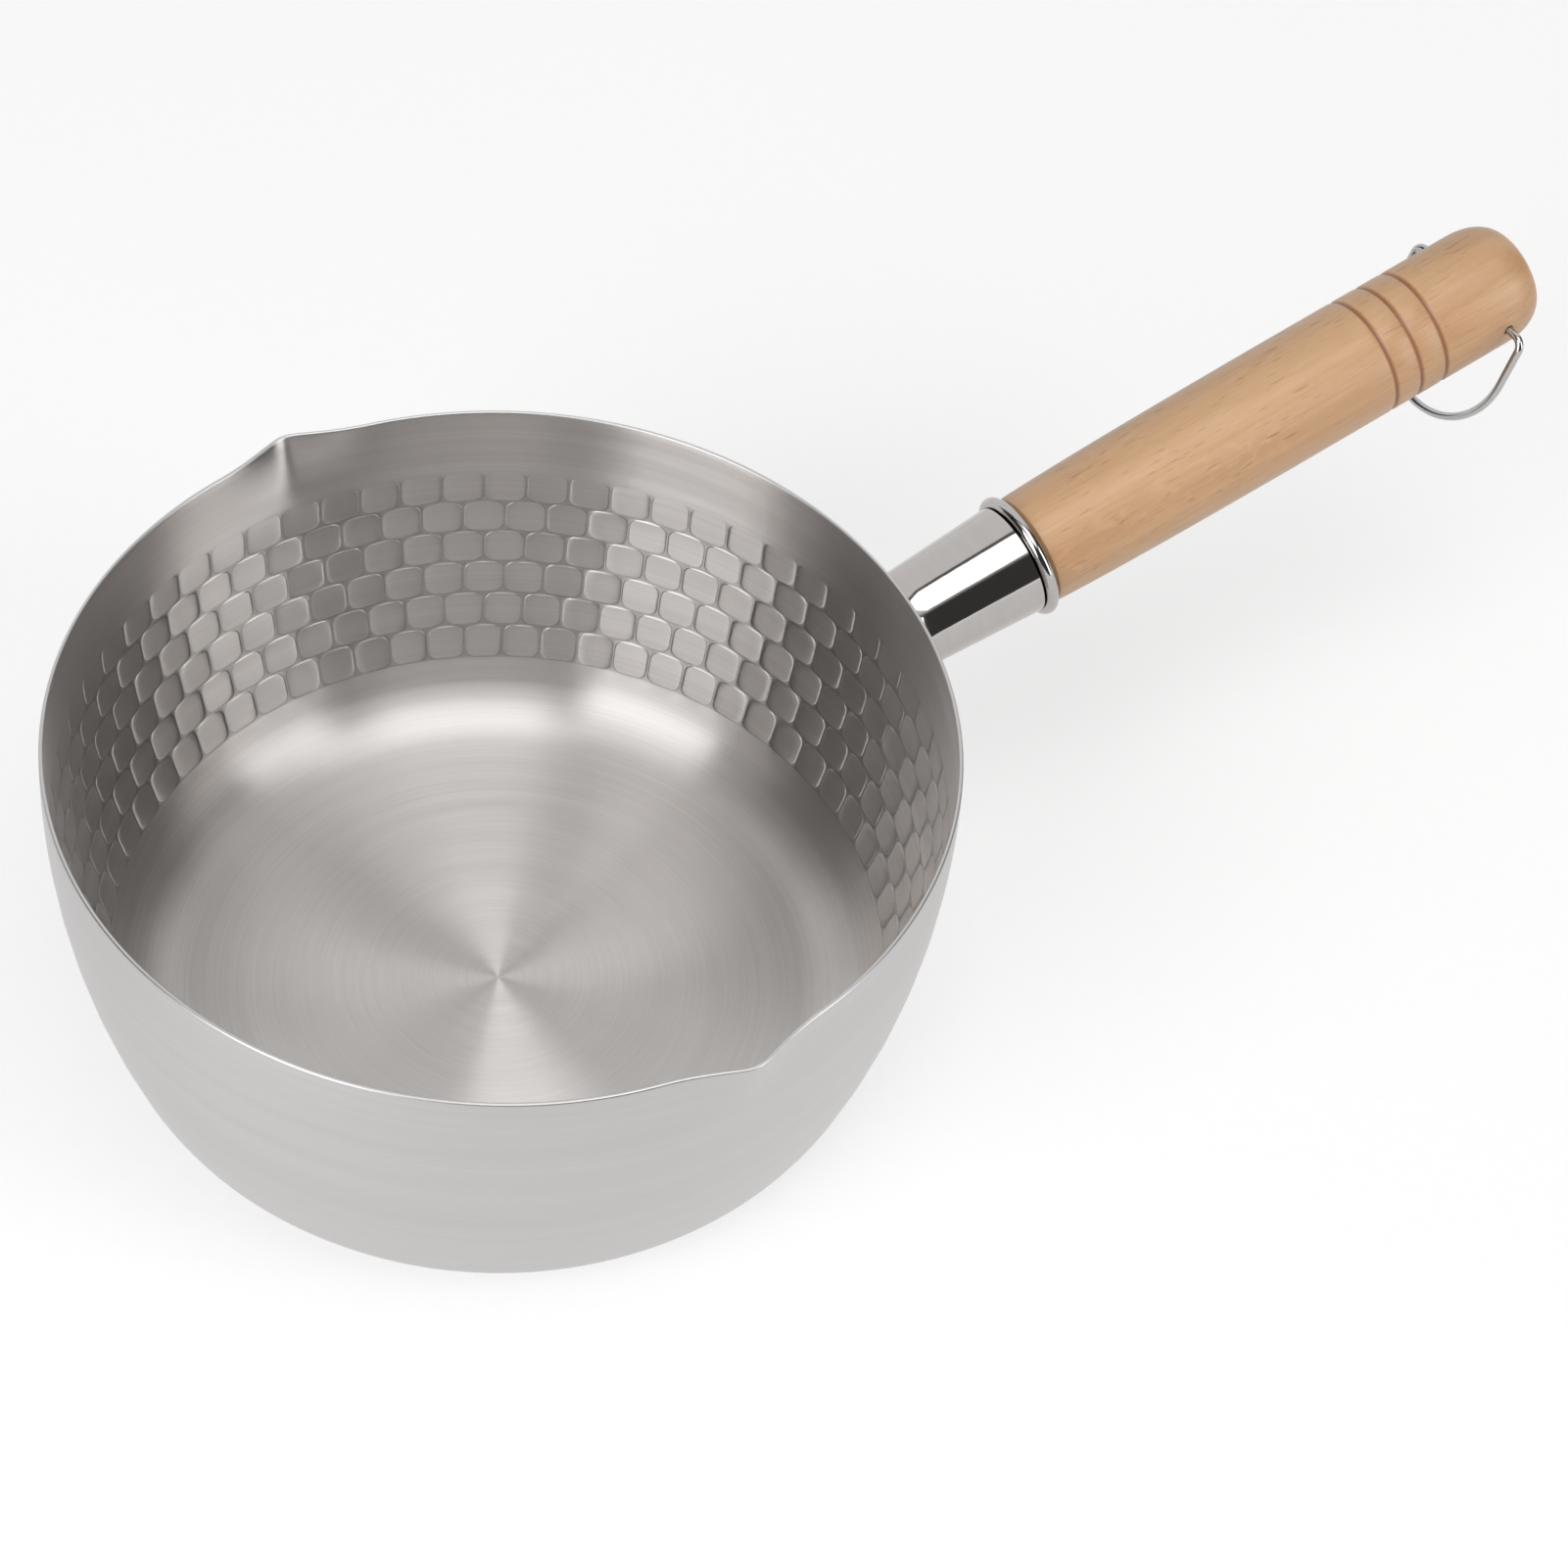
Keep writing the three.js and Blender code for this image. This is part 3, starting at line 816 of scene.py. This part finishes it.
# %% Turning one piece
def turn(name, points, columns, material, origin=ROOT, axis=ALONG, **values):
    """Turns an outline of (radius, distance) points round a line.

    The outline's foot, lift and mark are zero where they aren't given."""
    zero = [0.0] * len(points)
    values = {"foot": zero, "lift": zero, "mark": zero, **values}
    outline = outline_object(name + "_outline", points, **values)
    inputs = {"Profile": outline, "Columns": columns, "Origin": origin, "Axis": axis, "Side": SIDEWAYS,
              "Carrier": bowl, "Material": material}
    return grow(name, turned_pieces, inputs)


# %% [markdown]
# Polished steel
# The socket is polished to a mirror, so it needs almost no colour of its own: it shows the white floor, the
# backdrop, the soft box above and the dark room behind the camera as long stripes. Very faint lines run
# round it, and a slight unevenness keeps the stripes from looking drawn with a ruler. The crevice under the
# bead gets painted shade: the steel is coloured near black where the outline carries a mark.

# %% Polished steel, weld, screw and wire
# The near-black colour below is painted shade for the crevice under the socket's bead
CREVICE_PAINTED_SHADE = (0.02, 0.02, 0.02)
CREVICE_SHADE = 0.95
POLISH_SPACING = 0.35 * MM
POLISH_LENGTH = 0.6
POLISH_HEIGHT = 0.02
WAVES_PER_METRE = 140.0


def handle_place(tree):
    """Object coordinates in the handle's own axes: x along its line, from the wall outwards."""
    turned_root = Matrix.Rotation(HANDLE_TILT, 3, "Y") @ ROOT
    return own_place(tree, (0, HANDLE_TILT, 0), tuple(-turned_root))


def polished_finish(name, dark, light, roughness, spread, waviness):
    """Bright steel. Spread is how much the roughness changes, waviness how deep the unevenness is."""
    material, tree, shader = new_material(name)
    along, across, above = split(tree, handle_place(tree))
    place = combine(tree, across, above, along)
    fine, broad = lines_on(tree, place, along, POLISH_SPACING, POLISH_LENGTH)
    uneven = noise(tree, scaled(tree, place, WAVES_PER_METRE))
    steel = blend_colours(tree, fine * 0.5 + broad * 0.5, dark, light)
    # Painted shade: near black in the crevice, where the outline carries a mark
    steel = blend_colours(tree, named_value(tree, "mark") * CREVICE_SHADE, steel, CREVICE_PAINTED_SHADE)
    feed_all(tree, shader, {
        "Base Color": steel, "Metallic": 1.0, "Roughness": roughness + (uneven + fine - 1.0) * spread,
        "Normal": bumped(tree, uneven + fine * POLISH_HEIGHT, waviness),
    })
    return material


STEELS = {
    "polished_steel": ((0.43, 0.407, 0.394), (0.51, 0.483, 0.466), 0.07, 0.05, 0.02 * MM),
    "weld_steel": ((0.45, 0.445, 0.44), (0.54, 0.535, 0.53), 0.1, 0.06, 0.06 * MM),
    "screw_steel": ((0.42, 0.418, 0.415), (0.52, 0.518, 0.515), 0.24, 0.12, 0.06 * MM),
    "wire_steel": ((0.42, 0.415, 0.41), (0.53, 0.525, 0.52), 0.14, 0.1, 0.05 * MM),
}
steel_finish = {name: polished_finish(name, *values) for name, values in STEELS.items()}
print("steels:", list(steel_finish))

# %% [markdown]
# The socket and its weld
# The socket is a cone of sheet steel. Its mouth is rolled over into a round bead, with a narrow crevice on
# the pot's side where the roll meets the cone again. Its foot flares a little, which bends the stripes there,
# and follows the curve of the wall, and a small hollow weld runs round it. Both are turned from outlines
# whose first rows are cast onto the bowl.

# %% Socket sizes
SOCKET_LENGTH = 40.3 * MM
SOCKET_FOOT_RADIUS = 11.55 * MM
SOCKET_MOUTH_RADIUS = 13.8 * MM
SOCKET_SHEET = 0.9 * MM
SOCKET_COLUMNS = 160
MOUTH_INSET = 0.3 * MM
BEAD_RADIUS = 1.5 * MM
BEAD_RISE = 1.65 * MM
BEAD_STEPS = 18
CREVICE = 0.45 * MM
CREVICE_POINTS = (0.25, 0.75)
FLARE_LENGTH = 10 * MM
FLARE_RISE = 2.2 * MM
FLARE_STEPS = 8
CONE_STEPS = 5
CAST_FROM = 4 * MM
WALL_GAP = 0.05 * MM
socket_taper = (SOCKET_MOUTH_RADIUS - SOCKET_FOOT_RADIUS) / SOCKET_LENGTH
print("the socket's radius grows by", round(socket_taper, 3), "mm per mm of its length")


# %% Socket
def socket_outside(distance):
    flare = max(0.0, 1 - distance / FLARE_LENGTH)
    return SOCKET_FOOT_RADIUS + socket_taper * distance + FLARE_RISE * flare ** 2


def socket_outline():
    """The socket's points, with its feet and the marks in its crevice."""
    bead_at = SOCKET_LENGTH - BEAD_RADIUS
    bead_centre = (socket_outside(bead_at) + BEAD_RISE - BEAD_RADIUS, bead_at)
    cone_end = bead_at - BEAD_RADIUS - CREVICE
    foot = (socket_outside(0), CAST_FROM)
    inner_foot = (socket_outside(0) - SOCKET_SHEET, CAST_FROM)
    distances = [*np.linspace(CAST_FROM, FLARE_LENGTH, FLARE_STEPS + 1),
                 *np.linspace(FLARE_LENGTH, cone_end, CONE_STEPS + 1)[1:]]
    cone = [(socket_outside(d), d) for d in distances]
    roll = [(socket_outside(cone_end) - CREVICE, cone_end + CREVICE * share) for share in CREVICE_POINTS]
    bead = arc(bead_centre, (BEAD_RADIUS, BEAD_RADIUS), -pi / 2, pi / 2, BEAD_STEPS)
    inner = [(socket_outside(d) - SOCKET_SHEET, d)
             for d in (SOCKET_LENGTH - MOUTH_INSET, FLARE_LENGTH, CAST_FROM)]
    points = [foot] + cone + roll + bead + inner + [inner_foot, foot]
    feet = [1.0] + [0.0] * (len(points) - 3) + [1.0, 1.0]
    return points, feet, [1.0 if point in roll else 0.0 for point in points]


points, feet, marks = socket_outline()
socket = turn("socket", points, SOCKET_COLUMNS, steel_finish["polished_steel"],
              foot=feet, lift=[WALL_GAP] * len(points), mark=marks)
settle(socket, "pan", "handle_socket", sharp_from=30)

# %% Weld
WELD_LEG = 1.8 * MM
WELD_STEPS = 8
WELD_INSET = 0.2 * MM
WELD_GAP = 0.06 * MM
WELD_ROOT_GAP = 0.03 * MM
WELD_CAST_FROM = 6 * MM


def weld_outline():
    """The weld's hollow face from the socket to the wall, and how far each point is lifted off the wall."""
    hollow = arc((WELD_LEG, WELD_LEG), (WELD_LEG, WELD_LEG), pi, 1.5 * pi, WELD_STEPS)
    face = [(socket_outside(0) + radius, WELD_CAST_FROM) for radius, _ in hollow]
    back = (socket_outside(0) - WELD_INSET, WELD_CAST_FROM)
    rise = [height + WELD_GAP for _, height in hollow]
    return face + [back, back, face[0]], rise + [WELD_ROOT_GAP, WELD_LEG, rise[0]]


points, lifts = weld_outline()
weld = turn("weld", points, SOCKET_COLUMNS, steel_finish["weld_steel"],
            foot=[1.0] * len(points), lift=lifts)
settle(weld, "pan", "socket_weld", sharp_from=50)

# %% [markdown]
# Beech
# The handle is turned from beech: a pale, golden brown wood with short dark flecks that lie along the grain,
# and slow changes of tone from the growth rings. The grain follows the length of the blank, so the pattern
# reads the object's coordinates turned into the handle's own axes. Each layer of the pattern is a noise with
# its own count of waves along and across the grain. The cut grooves show darker end grain.

# %% Beech colours and layers
BEECH_PALE = (0.63, 0.385, 0.208)
BEECH_DEEP = (0.53, 0.294, 0.146)
BEECH_FLECK = (0.36, 0.185, 0.09)
# The sheen colour is a painted sheen: glints of the lacquered figure painted into the wood's colour
BEECH_SHEEN = (0.72, 0.475, 0.28)
GROOVE_BROWN = (0.33, 0.135, 0.07)
# Waves per metre along and across the grain, then detail and roughness where they aren't the usual ones
GRAIN_LAYERS = {
    "slow": (11, 110, 3.0), "patches": (30, 60), "wobble": (9, 40), "fibre": (60, 1500, 2.0, 0.6),
    "fleck": (170, 1700, 1.0), "ripple": (230, 480),
}
RING_WAVES = 900
RING_LEAN = 0.35
RING_WOBBLE = 9
# Where a layer begins to show and where it shows in full
SLOW_RANGE = (0.3, 0.7)
FLECK_RANGE = (0.64, 0.76)
FLECK_PATCHES = (0.35, 0.6, 0.25, 1.0)
RIPPLE_RANGE = (0.5, 0.7)
RIPPLE_PATCHES = (0.42, 0.62)
GROOVE_RANGE = (0.1, 0.9)
SLOW_TONE, RING_TONE, FIBRE_TONE, PATCH_TONE = 0.7, 0.12, 1.2, 0.3
RIPPLE_SHARE, FLECK_SHARE, GROOVE_SHARE = 0.25, 0.9, 0.85
WOOD_ROUGHNESS, FIBRE_ROUGHNESS, FLECK_ROUGHNESS = 0.4, 0.2, 0.12
FIBRE_HEIGHT, FLECK_DEPTH = 0.4, 0.5
GRAIN_DEPTH = 0.05 * MM
GRAIN_STRENGTH = 0.6
LACQUER = 0.25
LACQUER_ROUGHNESS = 0.3


# %% Beech
def beech_finish():
    material, tree, shader = new_material("beech")
    along, across, above = split(tree, handle_place(tree))
    layer = {name: noise(tree, combine(tree, along * length, across * width, above * width), *detail)
             for name, (length, width, *detail) in GRAIN_LAYERS.items()}
    patches, fibre = layer["patches"], layer["fibre"]
    rings = ((above + across * RING_LEAN) * RING_WAVES + layer["wobble"] * RING_WOBBLE).sin()
    flecks = layer["fleck"].between(*FLECK_RANGE) * patches.between(*FLECK_PATCHES)
    sheen_ripples = layer["ripple"].between(*RIPPLE_RANGE) * patches.between(*RIPPLE_PATCHES)
    slow = layer["slow"].between(*SLOW_RANGE)
    tone = slow * SLOW_TONE + rings * RING_TONE + (fibre - 0.5) * FIBRE_TONE + patches * PATCH_TONE
    grooves = named_value(tree, "mark").between(*GROOVE_RANGE)
    wood = blend_colours(tree, tone.clamp(), BEECH_PALE, BEECH_DEEP)
    # Painted sheen: the ripple patches are lightened towards the sheen colour
    wood = blend_colours(tree, sheen_ripples * RIPPLE_SHARE, wood, BEECH_SHEEN)
    wood = blend_colours(tree, flecks * FLECK_SHARE, wood, BEECH_FLECK)
    wood = blend_colours(tree, grooves * GROOVE_SHARE, wood, GROOVE_BROWN)
    feed_all(tree, shader, {
        "Base Color": wood,
        "Roughness": WOOD_ROUGHNESS + (fibre - 0.5) * FIBRE_ROUGHNESS + flecks * FLECK_ROUGHNESS,
        "Normal": bumped(tree, fibre * FIBRE_HEIGHT - flecks * FLECK_DEPTH, GRAIN_DEPTH, GRAIN_STRENGTH),
        "Coat Weight": LACQUER, "Coat Roughness": LACQUER_ROUGHNESS,
    })
    return material


beech = beech_finish()
print("wood:", beech.name, "with", len(GRAIN_LAYERS), "layers of grain")

# %% [markdown]
# The wooden handle
# The grip starts narrow at the socket, swells along one smooth curve, and ends in a rounded butt. Three
# grooves are cut near the end, and a hole goes straight through for the hanging ring. The outline marks the
# grooves, so that the wood can be darker there. The hole is drilled afterwards with a Boolean modifier.

# %% Handle sizes
GRIP_LENGTH = 142.3 * MM
GRIP_RADIUS = 14.8 * MM
NECK_RADIUS = 13.5 * MM
SWELL_LENGTH = 95 * MM
SWELL_BEND = 23 * MM
SWELL_STEPS = 26
TENON_LENGTH = 32 * MM
TENON_GAP = 0.3 * MM
SHOULDER_GAP = 0.3 * MM
SHOULDER_ROUND = 0.8 * MM
END_ROUND_LENGTH = 10 * MM
END_ROUND_DEPTH = 5.4 * MM
END_STEPS = 18
GROOVE_COUNT = 3
GROOVE_PITCH = 7.35 * MM
GROOVE_FROM_END = 30 * MM
GROOVE_WIDTH = 2 * MM
GROOVE_DEPTH = 0.7 * MM
GROOVE_STEPS = 10
HANDLE_COLUMNS = 128
handle_end = SOCKET_LENGTH + GRIP_LENGTH
shoulder = SOCKET_LENGTH + SHOULDER_GAP
print("the handle ends", round(handle_end / MM, 1), "mm from the start of its line")


# %% The grip's curve and its grooves
def swell_points():
    """The grip's smooth curve. It starts further out, where the shoulder's round edge ends."""
    points = []
    for t in np.linspace(0, 1, SWELL_STEPS + 1):
        shares = ((1 - t) ** 2, 2 * t * (1 - t), t ** 2)
        radius = shares[0] * NECK_RADIUS + (shares[1] + shares[2]) * GRIP_RADIUS
        points.append((radius, shoulder + shares[1] * SWELL_BEND + shares[2] * SWELL_LENGTH))
    return [(NECK_RADIUS, shoulder + SHOULDER_ROUND)] + points[1:]


def groove_points():
    """Points of the grooves, and how deep in a groove each one lies, from 0 to 1."""
    first = handle_end - GROOVE_FROM_END - (GROOVE_COUNT - 1) * GROOVE_PITCH
    points, depths = [], []
    for i in range(GROOVE_COUNT):
        for t in np.linspace(-1, 1, GROOVE_STEPS + 1):
            depth = cos(t * pi / 2) ** 2
            place = first + i * GROOVE_PITCH + t * GROOVE_WIDTH / 2
            points.append((GRIP_RADIUS - GROOVE_DEPTH * depth, place))
            depths.append(depth)
    return points, depths


# %% Handle
def handle_outline():
    tenon_start = SOCKET_LENGTH - TENON_LENGTH
    tenon = [(socket_outside(d) - SOCKET_SHEET - TENON_GAP, d) for d in (tenon_start, shoulder)]
    edge = (NECK_RADIUS - SHOULDER_ROUND, shoulder)
    grooves, depths = groove_points()
    end_centre = (GRIP_RADIUS - END_ROUND_DEPTH, handle_end - END_ROUND_LENGTH)
    end = arc(end_centre, (END_ROUND_DEPTH, END_ROUND_LENGTH), 0, pi / 2, END_STEPS)
    before = [(0, tenon_start)] + tenon + [edge] + swell_points()
    after = end + [(0, handle_end)]
    return before + grooves + after, [0.0] * len(before) + depths + [0.0] * len(after)


points, depths = handle_outline()
handle = turn("handle", points, HANDLE_COLUMNS, beech, mark=depths)


# %% Cutting tools
def placed_mesh(work, name, place):
    """Moves a mesh under construction to its place and returns it as a finished mesh."""
    work.transform(place)
    mesh = bpy.data.meshes.new(name)
    work.to_mesh(mesh)
    work.free()
    return mesh


def cut_away(piece, cutter_mesh):
    """Cuts one closed mesh out of a piece and keeps the result as the piece's plain mesh."""
    cutter = add_object(cutter_mesh.name, cutter_mesh)
    modifier = piece.modifiers.new("cut", "BOOLEAN")
    modifier.operation = "DIFFERENCE"
    modifier.solver = "EXACT"
    modifier.object = cutter
    mesh = evaluated_mesh(piece)
    piece.modifiers.clear()
    piece.data = mesh
    bpy.data.objects.remove(cutter)
    print(piece.name, "has", len(mesh.polygons), "faces after the cut")


# %% Cross hole
HOLE_FROM_END = 11.8 * MM
HOLE_SIDES = 32
WIRE_RADIUS = 1 * MM
WIRE_PLAY = 0.35 * MM
PIVOT = ROOT + ALONG * (handle_end - HOLE_FROM_END)


def drill_mesh(radius, reach, origin, axis):
    """A closed round bar along an axis, to cut with."""
    work = bmesh.new()
    bmesh.ops.create_cone(work, cap_ends=True, segments=HOLE_SIDES, radius1=radius, radius2=radius,
                          depth=2 * reach)
    aim = Vector((0, 0, 1)).rotation_difference(axis).to_matrix().to_4x4()
    return placed_mesh(work, "cross_hole", Matrix.Translation(origin) @ aim)


cut_away(handle, drill_mesh(WIRE_RADIUS + WIRE_PLAY, 2 * GRIP_RADIUS, PIVOT, SIDEWAYS))
settle(handle, "pan", "wood_handle", sharp_from=35)
print("handle drilled at", [round(value, 4) for value in PIVOT])

# %% [markdown]
# The screw
# A short screw under the socket holds the tenon, so that the handle can't pull out. Its low round head has a
# cross recess for the driver. Only the head shows, from below. The recess is cut one bar at a time, because a
# Boolean can lose the whole piece when the cutter overlaps itself.

# %% Screw
SCREW_FROM_MOUTH = 16 * MM
SCREW_GAP = 0.3 * MM
SCREW_SHANK_RADIUS = 1.5 * MM
SCREW_HEAD_RADIUS = 3 * MM
SCREW_HEAD_HEIGHT = 1.7 * MM
SCREW_HEAD_STEPS = 12
SCREW_LENGTH = 11 * MM
SCREW_POINT = 2.5 * MM
SCREW_COLUMNS = 48
RECESS_LENGTH = 3.4 * MM
RECESS_WIDTH = 0.75 * MM
RECESS_DEPTH = 1 * MM
screw_at = SOCKET_LENGTH - SCREW_FROM_MOUTH
screw_seat = socket_outside(screw_at) + SCREW_GAP
screw_origin = ROOT + ALONG * screw_at


def recess_mesh(length, width):
    """One bar of the cross at the top of the screw's head."""
    work = bmesh.new()
    bmesh.ops.create_cube(work, size=1.0)
    bmesh.ops.scale(work, vec=(length, width, 2 * RECESS_DEPTH), verts=work.verts)
    bmesh.ops.translate(work, vec=(0, 0, screw_seat + SCREW_HEAD_HEIGHT), verts=work.verts)
    axes = Matrix((ALONG, BELOW.cross(ALONG), BELOW)).transposed().to_4x4()
    return placed_mesh(work, "cross_recess", Matrix.Translation(screw_origin) @ axes)


head = arc((0, screw_seat), (SCREW_HEAD_RADIUS, SCREW_HEAD_HEIGHT), 0, pi / 2, SCREW_HEAD_STEPS)
tip = screw_seat - SCREW_LENGTH
shank = [(0, tip), (SCREW_SHANK_RADIUS, tip + SCREW_POINT), (SCREW_SHANK_RADIUS, screw_seat)]
screw = turn("screw", shank + head, SCREW_COLUMNS, steel_finish["screw_steel"], screw_origin, BELOW)
cut_away(screw, recess_mesh(RECESS_LENGTH, RECESS_WIDTH))
cut_away(screw, recess_mesh(RECESS_WIDTH, RECESS_LENGTH))
settle(screw, "pan", "handle_screw", sharp_from=35)

# %% [markdown]
# The hanging ring
# The ring is one bent wire: a half round loop, two straight legs, and two short ends that are sprung into the
# cross hole. A Curve to Mesh tree sweeps a small circle along the path, which is the natural way to make
# anything that follows a line. The ring hangs in its own body, because it swings.

# %% The ring's path
RING_DROP = 32.5 * MM
RING_SIDE_GAP = 4.2 * MM
RING_BEND_RADIUS = 2.6 * MM
RING_END_GAP = 5 * MM
RING_SWING = radians(30)
LOOP_STEPS = 48
BEND_STEPS = 10
WIRE_SIDES = 20


def ring_points():
    """The ring's middle line as (sideways, away from the hole) points."""
    legs = GRIP_RADIUS + RING_SIDE_GAP + WIRE_RADIUS
    bend = RING_BEND_RADIUS
    loop = arc((0, RING_DROP - legs), (legs, legs), 0, pi, LOOP_STEPS)
    first = [(RING_END_GAP / 2, 0)] + arc((legs - bend, bend), (bend, bend), -pi / 2, 0, BEND_STEPS)
    last = arc((bend - legs, bend), (bend, bend), pi, 1.5 * pi, BEND_STEPS) + [(-RING_END_GAP / 2, 0)]
    return first + loop + last


drop = BELOW * cos(RING_SWING) - ALONG * sin(RING_SWING)
ring_path = path_object("ring_path", [PIVOT + SIDEWAYS * x + drop * y for x, y in ring_points()])
print("the ring's path has", len(ring_path.data.vertices), "points")


# %% Ring
def ring_tree(inputs):
    tree, value = new_tree("swept_wire", socket_kinds(inputs))
    path = out(tree, "GeometryNodeObjectInfo", {"Object": value["Path"]}, output="Geometry")
    curve = out(tree, "GeometryNodeMeshToCurve", {"Mesh": path})
    circle = {"Resolution": value["Sides"], "Radius": value["Wire Radius"]}
    section = out(tree, "GeometryNodeCurvePrimitiveCircle", circle)
    sweep = {"Curve": curve, "Profile Curve": section, "Fill Caps": True}
    close_and_finish(tree, out(tree, "GeometryNodeCurveToMesh", sweep), value["Material"])
    return tree


ring_inputs = {"Path": ring_path, "Wire Radius": WIRE_RADIUS, "Sides": WIRE_SIDES,
               "Material": steel_finish["wire_steel"]}
ring = grow("ring", ring_tree(ring_inputs), ring_inputs)
settle(ring, "ring", "hanging_ring", sharp_from=40)

# %% Patterns and outlines that were only needed while building
leftovers = [o for o in bpy.data.objects if o.name.endswith("_outline") or o.name == "ring_path"]
print("removed:", [o.name for o in leftovers])
for leftover in leftovers:
    bpy.data.objects.remove(leftover)

# %% [markdown]
# Floor, backdrop and light
# A pale product picture of shiny steel is mostly a picture of the studio. One large soft box hangs above
# and a little in front of the pot, two others stand left and right of the camera, and the room behind the
# camera is dark, which puts the dark stripe on the polished socket. The upper box has a dark frame, which
# draws the thin line between the socket's grey and white stripes. Behind the pot everything is white. The
# world gives that white to camera and mirror rays, and a plain even fill to the rest.

# %% Floor
FLOOR_REACH = 6.0
FLOOR_DROP = 0.2 * MM
FLOOR_GLOW = 0.6
FAR_GLOW = 0.9
FAR_START = 0.5
FAR_END = 2.2
PAPER_DARK = (0.44, 0.44, 0.44)
PAPER_LIGHT = (0.48, 0.48, 0.48)
PAPER_GRAIN = 300.0
PAPER_DETAIL = 3.0


def ray_is(tree, *kinds):
    """One for rays of these kinds and zero for all others."""
    path = put(tree, "ShaderNodeLightPath").outputs
    first, *others = [Num(tree, path["Is %s Ray" % kind]) for kind in kinds]
    for other in others:
        first = first.most(other)
    return first


def pale_floor_finish():
    material, tree, shader = new_material("pale_floor")
    place = own_place(tree)
    x, y, _ = split(tree, place)
    glow = (x * x + y * y).root().between(FAR_START, FAR_END, FLOOR_GLOW, FAR_GLOW)
    grain = noise(tree, scaled(tree, place, PAPER_GRAIN), PAPER_DETAIL)
    feed_all(tree, shader, {
        "Base Color": blend_colours(tree, grain, PAPER_DARK, PAPER_LIGHT), "Roughness": 1.0,
        "Specular IOR Level": 0.0, "Emission Color": (1, 1, 1, 1),
        "Emission Strength": ray_is(tree, "Camera", "Glossy", "Transmission") * glow,
    })
    return material


floor_mesh = bpy.data.meshes.new("floor")
corners = [(x * FLOOR_REACH, y * FLOOR_REACH, -FLOOR_DROP) for x, y in ((-1, -1), (1, -1), (1, 1), (-1, 1))]
floor_mesh.from_pydata(corners, [], [(0, 1, 2, 3)])
floor = add_object("floor", floor_mesh)
floor.data.materials.append(pale_floor_finish())
print("floor reaches", FLOOR_REACH, "m each way")

# %% World
ROOM_DARK = 0.06
FILL = 0.24
BACKDROP_TURN = radians(-8)
BACKDROP_START = cos(radians(44))
BACKDROP_END = cos(radians(62))
CEILING = 0.95
CEILING_START = sin(radians(46))
CEILING_END = sin(radians(60))
FRAME_START = (0.08, 0.11)
FRAME_END = (0.21, 0.25)
FRAME_SHADE = 0.85
STRAIGHT_UP = 0.001
HORIZON = 0.01


def studio_world():
    world = bpy.data.worlds.new("studio")
    world.use_nodes = True
    tree = world.node_tree
    x, y, z = split(tree, out(tree, "ShaderNodeTexCoord", output="Generated"))
    middle = PHOTO_BACK * cos(BACKDROP_TURN) + PHOTO_RIGHT * sin(BACKDROP_TURN)
    backwards = (x * middle.x + y * middle.y) / ((x * x + y * y).root() + STRAIGHT_UP)
    backdrop = backwards.between(BACKDROP_END, BACKDROP_START, ROOM_DARK, 1.0)
    ceiling = z.between(CEILING_START, CEILING_END, 0.0, CEILING)
    slope = (x * PHOTO_BACK.x + y * PHOTO_BACK.y) / z.most(HORIZON)
    box_frame = slope.between(*FRAME_START) * slope.between(*FRAME_END, 1.0, 0.0)
    lit = backdrop.most(ceiling) * (1 - box_frame * FRAME_SHADE)
    camera_ray, mirror_ray = ray_is(tree, "Camera"), ray_is(tree, "Glossy", "Transmission")
    strength = camera_ray + (1 - camera_ray) * (mirror_ray * lit + (1 - mirror_ray) * FILL)
    feed_all(tree, tree.nodes["Background"], {"Color": (1, 1, 1, 1), "Strength": strength})
    bpy.context.scene.world = world
    return world


print("world:", studio_world().name)

# %% Soft boxes
WATTS_PER_SQUARE_METRE = 4


def soft_box(name, centre, target, width, height, brightness):
    """A rectangular lamp that looks at a target. Brightness 1 is as bright as a white surface."""
    data = bpy.data.lights.new(name, "AREA")
    data.shape = "RECTANGLE"
    data.size = width
    data.size_y = height
    data.energy = WATTS_PER_SQUARE_METRE * width * height * brightness
    lamp = bpy.data.objects.new(name, data)
    aim = (target - centre).to_track_quat("-Z", "Y").to_matrix().to_4x4()
    lamp.matrix_world = Matrix.Translation(centre) @ aim
    bpy.context.scene.collection.objects.link(lamp)
    return lamp


def from_pot(azimuth, elevation, distance):
    """A place seen from the pot. Azimuth is clockwise from the back, as seen from above."""
    level = distance * cos(radians(elevation))
    flat = PHOTO_RIGHT * sin(radians(azimuth)) + PHOTO_BACK * cos(radians(azimuth))
    return VIEW_TARGET + flat * level + Vector((0, 0, distance * sin(radians(elevation))))


def overhead_box(height, left, right, front, back, brightness):
    """A level soft box whose edges are given as slopes seen from the pot."""
    middle = PHOTO_RIGHT * (left + right) / 2 + PHOTO_BACK * (front + back) / 2 + Vector((0, 0, 1))
    centre = VIEW_TARGET + middle * height
    lamp = soft_box("overhead_softbox", centre, centre - Vector((0, 0, 1)), (right - left) * height,
                    (back - front) * height, brightness)
    lamp.matrix_world = Matrix.Translation(centre) @ Matrix.Rotation(VIEW_AZIMUTH, 4, "Z")


overhead_box(height=2.0, left=-0.13, right=0.46, front=-0.56, back=0.15, brightness=1.7)
soft_box("left_softbox", from_pot(-137, 25, 2.4), VIEW_TARGET, width=1.45, height=2.2, brightness=3.1)
soft_box("right_softbox", from_pot(112, 24, 2.4), VIEW_TARGET, width=1.05, height=2.05, brightness=2.4)
